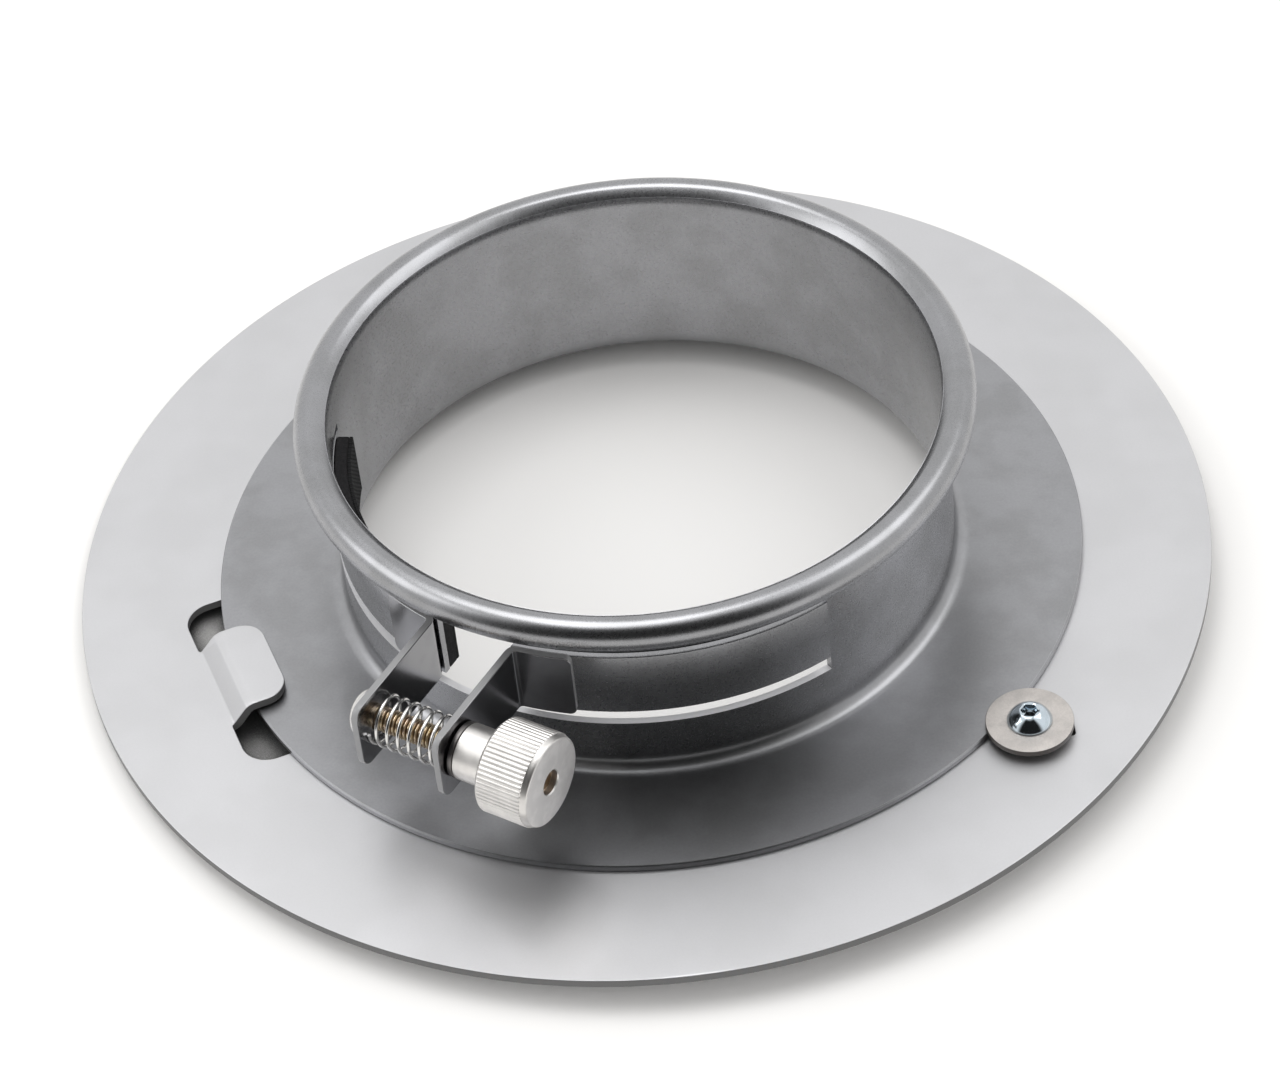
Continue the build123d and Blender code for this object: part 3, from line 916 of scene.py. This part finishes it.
screw_profile = [(0, screw_low), (shank - 0.4 * MM, screw_low)]
screw_profile += upright(shank, screw_low + 0.4 * MM, seat - 0.15 * MM, PITCH / 8)
screw_profile += [(shank + 0.15 * MM, seat), *moved([(-0.25, 0), (0, 0.12)], screw_head_radius, seat)]
screw_profile += [(x, dome_middle + z) for x, z in circle(sphere, np.linspace(dome_start, dome_stop, 14))]
screw_profile += [(socket_corner, screw_high - 0.05 * MM), (socket_corner, socket_floor)]
screw_profile += [(SOCKET_FLATS * 0.42, socket_floor - 0.05 * MM), (0, socket_floor - 0.35 * MM)]
screw = piece("retaining_screw_button", mesh_of(turned(screw_profile, 72, screw_wave)), SCREW, 35)
stand_for(screw, "retaining_screw", "retaining_screw", "screw_zinc")

# %% Lock nut and its insert
NUT_FLATS, CORNER_CUT, HEX_STEP = 7 * MM, 0.42 * MM, 0.6 * MM
COLLAR_EDGE, COLLAR_RADIUS = 0.5 * MM, 3.1 * MM
nut_bottom, nut_top = span("lock_nut", SCREW)
insert_top = span("lock_nut_insert", SCREW)[1]
insert_bore, insert_radius = radii("lock_nut_insert", SCREW)
lock_points = local_points("lock_nut", SCREW)
hex_bottom = float(lock_points[reach_of(lock_points) > 3.6 * MM][:, 2].min())
corner = NUT_FLATS / math.sqrt(3)
lock_profile = moved([(0, -0.3), (0.3, 0)], insert_bore, nut_top)
lock_profile += moved([(-0.15, 0), (0.05, -0.08)], NUT_FLATS / 2, nut_top)
lock_profile.append((corner, nut_top - CORNER_CUT))
lock_profile += upright(corner, nut_top - HEX_STEP, hex_bottom + HEX_STEP, HEX_STEP)
lock_profile += [(corner, hex_bottom + CORNER_CUT), (NUT_FLATS / 2 - 0.1 * MM, hex_bottom)]
lock_profile.append((COLLAR_RADIUS, hex_bottom - 0.05 * MM))
lock_profile += arc((COLLAR_RADIUS - COLLAR_EDGE, nut_bottom + COLLAR_EDGE), COLLAR_EDGE, 0, -90, 5)
lock_profile += [(insert_radius, z) for z in (nut_bottom + 0.1 * MM, insert_top)]
lock_profile.append((insert_bore, insert_top))
lock_shape = turned(lock_profile, 96, hexagon(NUT_FLATS), closed=True)
stand_for(piece("lock_nut_hex", mesh_of(lock_shape), SCREW), "lock_nut", "retainer", "nut_zinc")
insert = flat_washer("lock_nut_nylon", "lock_nut_insert", SCREW, 0.1, 0.1, 96)
stand_for(insert, "lock_nut_insert", "retainer", "nut_nylon")

# %% [markdown]
# Every finish is built from nodes, and a few effects come back in most of them: the clouds and the
# fine grain of plated sheet, the bright line along a rubbed edge, and the rings that a lathe tool
# leaves. Each of those is a node group, made once and placed with other values in each material.
# The shader itself stays in the material. First come a few helpers: an input that is given as a
# socket gets linked, and anything else is typed in.


# %% Node helpers
def give(tree, sockets, values):
    """Links or sets inputs by name or by number."""
    for key, value in values.items():
        if isinstance(value, bpy.types.NodeSocket):
            tree.links.new(value, sockets[key])
        else:
            sockets[key].default_value = value


def put(tree, kind, inputs=None, **settings):
    """Adds a node to a tree, with its settings and its inputs."""
    made = tree.nodes.new(f"ShaderNode{kind}")
    for key, value in settings.items():
        setattr(made, key, value)
    give(tree, made.inputs, inputs or {})
    return made


def maths(tree, operation, *values):
    """Result of one math node."""
    return put(tree, "Math", dict(enumerate(values)), operation=operation).outputs[0]


def vectors(tree, operation, output, *values):
    """Result of one vector math node."""
    return put(tree, "VectorMath", dict(enumerate(values)), operation=operation).outputs[output]


def spread(tree, value, low, high, to_low=0.0, to_high=1.0):
    """A value moved from one range to another, with soft ends, and held within it."""
    inputs = {"Value": value, "From Min": low, "From Max": high, "To Min": to_low, "To Max": to_high}
    return put(tree, "MapRange", inputs, interpolation_type="SMOOTHSTEP").outputs[0]


def noise_of(tree, vector, scale, detail=3.0, rough=0.55):
    """Value of a noise texture, around a half."""
    inputs = {"Vector": vector, "Scale": scale, "Detail": detail, "Roughness": rough}
    return put(tree, "TexNoise", inputs).outputs[0]


def blended(tree, factor, first, second):
    """Colour between two colours."""
    made = put(tree, "Mix", data_type="RGBA")
    give(tree, made.inputs, {0: factor, 6: first, 7: second})
    return made.outputs[2]


def bump_of(tree, height, distance):
    """Normal of a surface raised by a height."""
    return put(tree, "Bump", {"Height": height, "Distance": distance}).outputs[0]


def object_place(tree):
    """Place of the shaded point on its object."""
    return put(tree, "TexCoord").outputs["Object"]


def marked(tree, name, output="Fac"):
    """Value of an attribute that the mesh carries."""
    return put(tree, "Attribute", attribute_name=name).outputs[output]


def group(name, inputs, outputs):
    """Empty node group with named sockets, and the sockets inside it."""
    tree = bpy.data.node_groups.new(name, "ShaderNodeTree")
    for side, sockets in (("INPUT", inputs), ("OUTPUT", outputs)):
        for label, kind in sockets.items():
            tree.interface.new_socket(label, in_out=side, socket_type=f"NodeSocket{kind}")
    print("group", name)
    return tree, tree.nodes.new("NodeGroupInput").outputs, tree.nodes.new("NodeGroupOutput").inputs


def place_group(tree, made, **values):
    """Puts a group into a material. Underscores in the names of its inputs stand for spaces."""
    inputs = {label.replace("_", " "): value for label, value in values.items()}
    return put(tree, "Group", inputs, node_tree=made).outputs


def material_of(name, **values):
    """Material with its shader's sockets. Underscores in their names stand for spaces."""
    made = bpy.data.materials.new(name)
    made.use_nodes = True
    shader = made.node_tree.nodes["Principled BSDF"].inputs
    give(made.node_tree, shader, {label.replace("_", " "): value for label, value in values.items()})
    print("finish", name)
    return made, made.node_tree, shader


def feed(tree, sockets, source, *labels):
    """Links outputs to inputs of the same name. A colour becomes the base colour."""
    for label in labels:
        tree.links.new(source[label], sockets["Base Color" if label == "Colour" else label])


# %% [markdown]
# Zinc plate and rolled aluminium look alike from afar: a grey that drifts in soft clouds, and over it
# a grain of a few tenths of a millimetre that breaks up every reflection. One noise texture gives
# each. The grain also moves the roughness a little, and a Bump node turns it into a surface.

# %% Sheet grain
sheet_grain, given, out = group(
    "sheet_grain",
    {
        "Colour": "Color", "Cloud Colour": "Color", "Cloud Scale": "Float", "Grain Scale": "Float",
        "Grain Depth": "Float", "Roughness": "Float", "Roughness Spread": "Float", "Bump Height": "Float",
    },
    {"Colour": "Color", "Roughness": "Float", "Normal": "Vector"},
)
where = object_place(sheet_grain)
cloud = spread(sheet_grain, noise_of(sheet_grain, where, given["Cloud Scale"]), 0.36, 0.64)
tone = blended(sheet_grain, cloud, given["Colour"], given["Cloud Colour"])
grain = maths(sheet_grain, "SUBTRACT", noise_of(sheet_grain, where, given["Grain Scale"], 4.0, 0.7), 0.5)
level = maths(sheet_grain, "MULTIPLY_ADD", grain, given["Grain Depth"], 1.0)
toned = put(sheet_grain, "VectorMath", {0: tone, "Scale": level}, operation="SCALE").outputs[0]
rough = maths(sheet_grain, "MULTIPLY_ADD", grain, given["Roughness Spread"], given["Roughness"])
raised = bump_of(sheet_grain, grain, given["Bump Height"])
for label, value in (("Colour", toned), ("Roughness", rough), ("Normal", raised)):
    sheet_grain.links.new(value, out[label])

# %% [markdown]
# Handling rubs the corners of a sheet bright. The Bevel node says where a surface turns a corner: it
# gives the normal of a rounded copy, and where that differs from the true one, there is an edge. A
# face that the punch or the shear has cut is another matter. It is torn rather than rolled, so it
# scatters light and lacks the shine of metal. The meshes mark those faces, and the group gives them
# the colour that each finish sets. That colour is partly painted light: a painted shade on the base
# ring, partly a painted shade on the washer, and partly a painted highlight on the collar. A second
# mark says where two pieces are really one sheet, and there no corner is rubbed.

# %% Worn edges
worn_edges, given, out = group(
    "worn_edges",
    {
        "Colour": "Color", "Edge Colour": "Color", "Cut Colour": "Color", "Roughness": "Float",
        "Edge Roughness": "Float", "Width": "Float",
    },
    {"Colour": "Color", "Roughness": "Float", "Metallic": "Float"},
)
rounded = put(worn_edges, "Bevel", {"Radius": given["Width"]}, samples=6).outputs[0]
true_normal = put(worn_edges, "NewGeometry").outputs["Normal"]
turning = spread(worn_edges, vectors(worn_edges, "DOT_PRODUCT", "Value", rounded, true_normal), 0.995, 0.9)
broken = spread(worn_edges, noise_of(worn_edges, object_place(worn_edges), 900.0), 0.25, 0.55, 0.35, 1.0)
sheared, whole = marked(worn_edges, "cut_edge"), marked(worn_edges, "one_sheet")
rubbed = maths(worn_edges, "MULTIPLY", turning, broken)
worn = maths(worn_edges, "MULTIPLY", rubbed, maths(worn_edges, "SUBTRACT", 1.0, whole))
edge_mask = maths(worn_edges, "MAXIMUM", worn, sheared)
worn_colour = blended(worn_edges, worn, given["Colour"], given["Edge Colour"])
# Cut Colour paints the cut faces: on some finishes it is a painted shade, on others partly a painted
# highlight.
edge_colour = blended(worn_edges, sheared, worn_colour, given["Cut Colour"])
rough_gap = maths(worn_edges, "SUBTRACT", given["Edge Roughness"], given["Roughness"])
edge_rough = maths(worn_edges, "MULTIPLY_ADD", rough_gap, edge_mask, given["Roughness"])
shine = maths(worn_edges, "SUBTRACT", 1.0, sheared)
for label, value in (("Colour", edge_colour), ("Roughness", edge_rough), ("Metallic", shine)):
    worn_edges.links.new(value, out[label])


# %% Sheet metals
def sheet_metal(name, edge, cut, edge_rough, width, spun=None, **grain_values):
    """Plated or rolled sheet: clouds and grain, rubbed edges, and the finish of its cut faces.

    The spinning tool polishes the wall, so spun is the roughness above the flange.
    """
    material, tree, shader = material_of(name, Metallic=1)
    if spun:
        height = put(tree, "SeparateXYZ", {0: marked(tree, "local", "Vector")}).outputs[2]
        low, high = flange_top + 0.3 * MM, flange_top + 3 * MM
        grain_values["Roughness"] = spread(tree, height, low, high, grain_values["Roughness"], spun)
    grained = place_group(tree, sheet_grain, **grain_values)
    worn = place_group(
        tree, worn_edges, Colour=grained["Colour"], Edge_Colour=edge, Cut_Colour=cut,
        Roughness=grained["Roughness"], Edge_Roughness=edge_rough, Width=width,
    )
    feed(tree, shader, worn, "Colour", "Roughness", "Metallic")
    feed(tree, shader, grained, "Normal")
    return material


FINISHES = {}
# The base ring's cut faces get a near-black colour: a painted shade for faces that look away from the light.
FINISHES["base_metal"] = sheet_metal(
    "satin_rolled_sheet", (0.7, 0.7, 0.71, 1), (0.12, 0.12, 0.12, 1), 0.4, 0.12 * MM,
    Colour=(0.6, 0.6, 0.612, 1), Cloud_Colour=(0.57, 0.57, 0.58, 1), Cloud_Scale=45.0, Grain_Scale=2600.0,
    Grain_Depth=0.12, Roughness=0.45, Roughness_Spread=0.15, Bump_Height=0.006 * MM,
)
# The collar's cut faces are light grey: partly bare steel, partly a painted highlight on the rims that face
# up to the light.
FINISHES["collar_steel"] = sheet_metal(
    "zinc_plated_sheet", (0.6, 0.6, 0.62, 1), (0.88, 0.88, 0.9, 1), 0.3, 0.12 * MM, spun=0.28,
    Colour=(0.35, 0.352, 0.365, 1), Cloud_Colour=(0.31, 0.312, 0.32, 1), Cloud_Scale=110.0,
    Grain_Scale=2200.0, Grain_Depth=0.26, Roughness=0.34, Roughness_Spread=0.1, Bump_Height=0.004 * MM,
)
FINISHES["bracket_steel"] = sheet_metal(
    "zinc_plated_bracket", (0.55, 0.55, 0.56, 1), (0.3, 0.3, 0.305, 1), 0.22, 0.12 * MM,
    Colour=(0.36, 0.36, 0.37, 1), Cloud_Colour=(0.32, 0.32, 0.33, 1), Cloud_Scale=200.0, Grain_Scale=2600.0,
    Grain_Depth=0.2, Roughness=0.2, Roughness_Spread=0.1, Bump_Height=0.003 * MM,
)
# The washer's cut rim is dark brown: partly the sheared steel's own colour, partly a painted shade of the
# dark room.
FINISHES["washer_zinc"] = sheet_metal(
    "matt_washer_zinc", (0.58, 0.56, 0.54, 1), (0.1, 0.09, 0.085, 1), 0.4, 0.08 * MM,
    Colour=(0.56, 0.53, 0.505, 1), Cloud_Colour=(0.49, 0.465, 0.445, 1), Cloud_Scale=350.0,
    Grain_Scale=3800.0, Grain_Depth=0.5, Roughness=0.55, Roughness_Spread=0.2, Bump_Height=0.02 * MM,
)

# %% [markdown]
# A lathe leaves fine rings on everything it turns. They run round the axis, so their pattern
# depends only on how far a point lies from the axis and how high along it. Each mesh carries its
# own local coordinates as an attribute, from before it was set in place, and the group reads those.

# %% Lathe marks
lathe_marks, given, out = group(
    "lathe_marks",
    {"Ring Scale": "Float", "Bump Height": "Float", "Roughness": "Float", "Roughness Spread": "Float"},
    {"Reach": "Float", "Roughness": "Float", "Normal": "Vector"},
)
local = marked(lathe_marks, "local", "Vector")
flat = vectors(lathe_marks, "MULTIPLY", 0, local, (1, 1, 0))
reach = vectors(lathe_marks, "LENGTH", "Value", flat)
along = put(lathe_marks, "SeparateXYZ", {0: local}).outputs[2]
profile_point = put(lathe_marks, "CombineXYZ", {0: reach, 1: along}).outputs[0]
rings = noise_of(lathe_marks, profile_point, given["Ring Scale"], 2.0, 0.6)
centred = maths(lathe_marks, "SUBTRACT", rings, 0.5)
rough = maths(lathe_marks, "MULTIPLY_ADD", centred, given["Roughness Spread"], given["Roughness"])
raised = bump_of(lathe_marks, rings, given["Bump Height"])
for label, value in (("Reach", reach), ("Roughness", rough), ("Normal", raised)):
    lathe_marks.links.new(value, out[label])


# %% Turned metals
def turned_metal(name, colour, worn, edge_rough, width, ring_scale, ring_height, rough, rough_spread, bore=0):
    """Turned and plated metal: clouds, lathe marks, brighter edges, and painted shade inside a bore.

    The edge's width, the rings' height and the bore's radius are in millimetres.
    """
    material, tree, shader = material_of(name, Metallic=1)
    marks = place_group(
        tree, lathe_marks, Ring_Scale=ring_scale, Bump_Height=ring_height * MM, Roughness=rough,
        Roughness_Spread=rough_spread,
    )
    cloud = spread(tree, noise_of(tree, object_place(tree), 420.0), 0.35, 0.65)
    tint = blended(tree, cloud, (*colour, 1), (*[0.9 * c for c in colour], 1))
    if bore:
        # Painted shade: within the bore's radius the colour darkens almost to black, as shade in the socket.
        inside = spread(tree, marks["Reach"], bore * MM, 0.9 * bore * MM)
        tint = blended(tree, inside, tint, (*[0.12 * c for c in colour], 1))
    edged = place_group(
        tree, worn_edges, Colour=tint, Edge_Colour=(*worn, 1), Cut_Colour=tint, Roughness=marks["Roughness"],
        Edge_Roughness=edge_rough, Width=width * MM,
    )
    feed(tree, shader, edged, "Colour", "Roughness")
    feed(tree, shader, marks, "Normal")
    return material


TURNED_LOOKS = {
    "knob_nickel": (
        "bright_nickel", (0.8, 0.78, 0.755), (0.93, 0.92, 0.9), 0.25, 0.12, 9000.0, 0.004, 0.36, 0.15
    ),
    "spring_nickel": (
        "nickel_wire", (0.8, 0.79, 0.77), (0.85, 0.84, 0.82), 0.2, 0.03, 9000.0, 0.001, 0.16, 0.08
    ),
    "thrust_steel": (
        "dark_washer_steel", (0.2, 0.19, 0.185), (0.4, 0.38, 0.36), 0.3, 0.08, 7000.0, 0.003, 0.35, 0.15
    ),
    # For the screw the last value is the bore: its hex socket gets painted shade.
    "screw_zinc": (
        "blue_zinc", (0.62, 0.70, 0.76), (0.66, 0.74, 0.79), 0.12, 0.04, 8000.0, 0.001, 0.11, 0.05, 0.95
    ),
    "nut_zinc": ("dull_zinc", (0.5, 0.52, 0.54), (0.7, 0.72, 0.74), 0.25, 0.12, 6000.0, 0.002, 0.3, 0.12),
}
for slot, look in TURNED_LOOKS.items():
    FINISHES[slot] = turned_metal(*look)

# %% [markdown]
# The bolt is yellow zinc: the passivated plating is golden, and it drifts towards pink and green like
# an oil film. The thread's groove is painted dark brown as shade, and it is rougher. How far a point
# lies from the axis tells the groove from the crest, and the head, which is worn down to the steel.

# %% Yellow zinc
material, tree, shader = material_of("yellow_zinc_thread", Metallic=1)
marks = place_group(
    tree, lathe_marks, Ring_Scale=6000.0, Bump_Height=0.002 * MM, Roughness=0.26, Roughness_Spread=0.1
)
film = spread(tree, noise_of(tree, object_place(tree), 600.0), 0.35, 0.65)
golden = blended(tree, film, (0.74, 0.62, 0.42, 1), (0.68, 0.55, 0.44, 1))
# Painted shade: the thread's groove is coloured dark brown, the crest golden.
crest = spread(tree, marks["Reach"], bolt_radius - 0.36 * MM, bolt_radius - 0.08 * MM)
shank_colour = blended(tree, crest, (0.16, 0.1, 0.05, 1), golden)
on_head = spread(tree, marks["Reach"], bolt_radius + 0.05 * MM, bolt_radius + 0.3 * MM)
dull = maths(tree, "ADD", marks["Roughness"], 0.25)
tree.links.new(blended(tree, on_head, shank_colour, (0.7, 0.69, 0.67, 1)), shader["Base Color"])
tree.links.new(maths(tree, "MULTIPLY_ADD", crest, -0.25, dull), shader["Roughness"])
feed(tree, shader, marks, "Normal")
FINISHES["bolt_zinc"] = material

# %% [markdown]
# Felt is pressed from loose fibres, so it has no weave, only a fuzz that catches light at grazing
# angles. The shader's sheen does that. The facing on it is woven: a plain weave, in which each thread
# passes over one and under the next. Two sine waves make the threads, and a checker of the same pitch
# says which of the two lies on top.

# %% Felt and woven facing
woven, given, out = group(
    "woven", {"Pitch": "Float", "Thread": "Color", "Gap": "Color", "Height": "Float"},
    {"Colour": "Color", "Normal": "Vector"},
)
parts = put(woven, "SeparateXYZ", {0: marked(woven, "local", "Vector")}).outputs
round_way = maths(woven, "MULTIPLY", maths(woven, "ARCTAN2", parts[1], parts[0]), facing_inner)
counts = [maths(woven, "DIVIDE", value, given["Pitch"]) for value in (round_way, parts[2])]
waves = [maths(woven, "SINE", maths(woven, "MULTIPLY", count, math.pi)) for count in counts]
threads = [maths(woven, "ABSOLUTE", wave) for wave in waves]
cells = maths(woven, "ADD", *[maths(woven, "FLOOR", count) for count in counts])
over = maths(woven, "FLOORED_MODULO", cells, 2.0)
lifted = put(woven, "Mix", {0: over, 2: threads[0], 3: threads[1]}, data_type="FLOAT").outputs[0]
height = maths(woven, "MULTIPLY", lifted, maths(woven, "MAXIMUM", *threads))
woven.links.new(blended(woven, height, given["Gap"], given["Thread"]), out["Colour"])
woven.links.new(bump_of(woven, height, given["Height"]), out["Normal"])


def cloth(name, sheen, sheen_rough, rough=0.9):
    """Material with a matt shader that glows a little at grazing angles."""
    return material_of(
        name, Specular_IOR_Level=0.25, Sheen_Weight=sheen, Sheen_Roughness=sheen_rough, Roughness=rough
    )


FINISHES["pad_felt"], tree, shader = cloth("black_felt", 0.04, 0.5)
where = object_place(tree)
tufts = noise_of(tree, where, 1400.0, 5.0, 0.75)
lint = spread(tree, noise_of(tree, where, 5200.0, 2.0), 0.6, 0.78)
tint = blended(tree, spread(tree, tufts, 0.3, 0.7), (0.005, 0.005, 0.006, 1), (0.016, 0.015, 0.016, 1))
tree.links.new(blended(tree, lint, tint, (0.05, 0.048, 0.048, 1)), shader["Base Color"])
tree.links.new(bump_of(tree, tufts, 0.15 * MM), shader["Normal"])

FINISHES["pad_weave"], tree, shader = cloth("black_woven_facing", 0.02, 0.4)
yarn, gap = (0.012, 0.012, 0.013, 1), (0.002, 0.002, 0.002, 1)
weave = place_group(tree, woven, Pitch=0.45 * MM, Thread=yarn, Gap=gap, Height=0.12 * MM)
feed(tree, shader, weave, "Colour", "Normal")

FINISHES["nut_nylon"], tree, shader = cloth("nylon_insert", 0.0, 0.5, 0.4)
milky = spread(tree, noise_of(tree, object_place(tree), 900.0), 0.35, 0.65)
tree.links.new(blended(tree, milky, (0.62, 0.66, 0.7, 1), (0.7, 0.73, 0.76, 1)), shader["Base Color"])

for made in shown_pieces():
    made.data.materials.clear()
    made.data.materials.append(FINISHES[made["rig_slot"]])
print("finishes", len(FINISHES))

# %% [markdown]
# The ring doesn't lie flat. The screw and its lock nut stand out below it, so it leans on the
# screw's end and on the far side of its rim. The construction model stays where it is, so here the
# floor tilts instead. The floor is white paper. Under the sheet, near the notches, almost no light
# reaches it: an Ambient Occlusion node finds those places and darkens the paper there.

# %% Floor
PAPER_GAP, SHADE_REACH = 0.05 * MM, 10 * MM
SHADED_FROM, SHADED_TO, SHADE_BORDER = 61 * MM, 82 * MM, 3 * MM


def seen_directly(tree):
    """One for rays from the camera, a mirror or a glass, and zero for those that carry light."""
    ray = put(tree, "LightPath").outputs
    seen = maths(tree, "ADD", ray["Is Camera Ray"], ray["Is Glossy Ray"])
    return maths(tree, "ADD", seen, ray["Is Transmission Ray"])


screw_depth, screw_reach = -cad_box[0][2], screw_middle.length
tilt = math.atan2(screw_depth, ring_radius + screw_reach)
down = math.sin(tilt) * screw_out + math.cos(tilt) * UP
bpy.ops.mesh.primitive_plane_add(size=6)
floor = bpy.context.object
floor.rotation_mode = "QUATERNION"
floor.rotation_quaternion = UP.rotation_difference(down)
floor.location = screw_out * screw_reach - UP * screw_depth - down * PAPER_GAP
paper, tree, shader = material_of("paper", Roughness=0.9, Specular_IOR_Level=0.2)
near = put(tree, "AmbientOcclusion", {"Distance": SHADE_REACH}, samples=8).outputs["AO"]
flat_place = vectors(tree, "MULTIPLY", 0, put(tree, "NewGeometry").outputs["Position"], (1, 1, 0))
reach = vectors(tree, "LENGTH", "Value", flat_place)
inside = spread(tree, reach, SHADED_FROM, SHADED_FROM - SHADE_BORDER)
outside = spread(tree, reach, SHADED_TO, SHADED_TO + SHADE_BORDER)
lit = maths(tree, "MAXIMUM", spread(tree, near, 0.35, 0.95), maths(tree, "MAXIMUM", inside, outside))
covered = blended(tree, lit, (0.06, 0.06, 0.06, 1), (0.94, 0.93, 0.915, 1))
tree.links.new(blended(tree, seen_directly(tree), (0.85, 0.845, 0.83, 1), covered), shader["Base Color"])
floor.data.materials.append(paper)
print("floor tilted by", round(math.degrees(tilt), 2), "degrees")

# %% [markdown]
# Shiny metal shows the room more than itself. This room is pale all round and overhead, and dark in
# front from the horizon nearly to the top. The dark sides of the wall, of the brackets and of the
# bead are that part of the room, seen in the metal. Rays that only carry light meet one even level
# instead, so the paper and the cloth stay evenly lit.

# %% Room
ROOM_FRONT = Vector((-0.1, -1, 0)).normalized()
FRONT_EDGES, TOP_EDGES, LOW_EDGES = (66, 44), (86, 66), (-3, 9)
ROOM_LEVEL, DARKENING, EVEN_LEVEL, HORIZON_SHARE = 0.95, -0.94, 0.78, 0.45
world = bpy.data.worlds.new("studio")
bpy.context.scene.world = world
world.use_nodes = True
tree = world.node_tree
looking = put(tree, "TexCoord").outputs["Generated"]
level_way = vectors(tree, "NORMALIZE", 0, vectors(tree, "MULTIPLY", 0, looking, (1, 1, 0)))
facing_front = vectors(tree, "DOT_PRODUCT", "Value", level_way, ROOM_FRONT)
in_front = spread(tree, facing_front, *[math.cos(math.radians(edge)) for edge in FRONT_EDGES])
height = put(tree, "SeparateXYZ", {0: looking}).outputs[2]
below_top = spread(tree, height, *[math.sin(math.radians(edge)) for edge in TOP_EDGES])
above_floor = spread(tree, height, *[math.sin(math.radians(edge)) for edge in LOW_EDGES], HORIZON_SHARE, 1.0)
dark = maths(tree, "MULTIPLY", in_front, maths(tree, "MULTIPLY", below_top, above_floor))
room = maths(tree, "MULTIPLY_ADD", dark, DARKENING, ROOM_LEVEL)
level = put(tree, "Mix", {0: seen_directly(tree), 2: EVEN_LEVEL, 3: room}, data_type="FLOAT").outputs[0]
give(tree, tree.nodes["Background"].inputs, {"Strength": level, "Color": (1, 1, 1, 1)})
print("world", world.name, "with", len(tree.nodes), "nodes")

# %% [markdown]
# Three square softboxes add the highlights: one overhead, one at the left and one at the right. Their
# size makes the bands of light along the bead broad and their edges soft. The camera stands in front
# and looks down at 44 degrees through a long lens, which keeps the circles close to true ellipses.


# %% Lamps and camera
def softbox(name, way, reach, size, power):
    """Square soft light that looks at the ring from a direction."""
    data = bpy.data.lights.new(name, "AREA")
    data.size = size
    data.energy = power
    made = bpy.data.objects.new(name, data)
    bpy.context.scene.collection.objects.link(made)
    made.location = Vector(way).normalized() * reach
    made.rotation_mode = "QUATERNION"
    made.rotation_quaternion = Vector(way).to_track_quat("Z", "Y")


softbox("top_softbox", (-0.14, 0.15, 1.0), 1.0, 0.55, 2.6)
softbox("left_softbox", (-0.77, 0.03, 0.62), 1.2, 0.6, 2.0)
softbox("right_softbox", (0.57, 0.12, 0.81), 1.2, 0.65, 2.2)

LOOK_DOWN, ROLL, DISTANCE = 0.764, -0.114, 0.697951
SIDE_SHIFT, RISE_SHIFT, LENS = -0.419 * MM, 1.8 * MM, 117.34
forward = Vector((0, math.cos(LOOK_DOWN), -math.sin(LOOK_DOWN)))
level_right, level_up = Vector((1, 0, 0)), Vector((0, math.sin(LOOK_DOWN), math.cos(LOOK_DOWN)))
right = math.cos(ROLL) * level_right + math.sin(ROLL) * level_up
up = -math.sin(ROLL) * level_right + math.cos(ROLL) * level_up
camera_data = bpy.data.cameras.new("camera")
camera_data.lens = LENS
camera_data.sensor_width = 36
camera = bpy.data.objects.new("camera", camera_data)
bpy.context.scene.collection.objects.link(camera)
bpy.context.scene.camera = camera
eye = ring_sheet * UP - forward * DISTANCE + right * SIDE_SHIFT + up * RISE_SHIFT
camera.matrix_world = Matrix.Translation(eye) @ Matrix((right, up, -forward)).transposed().to_4x4()
bpy.context.scene.view_settings.view_transform = "Standard"
print("camera at", [round(x, 3) for x in eye])
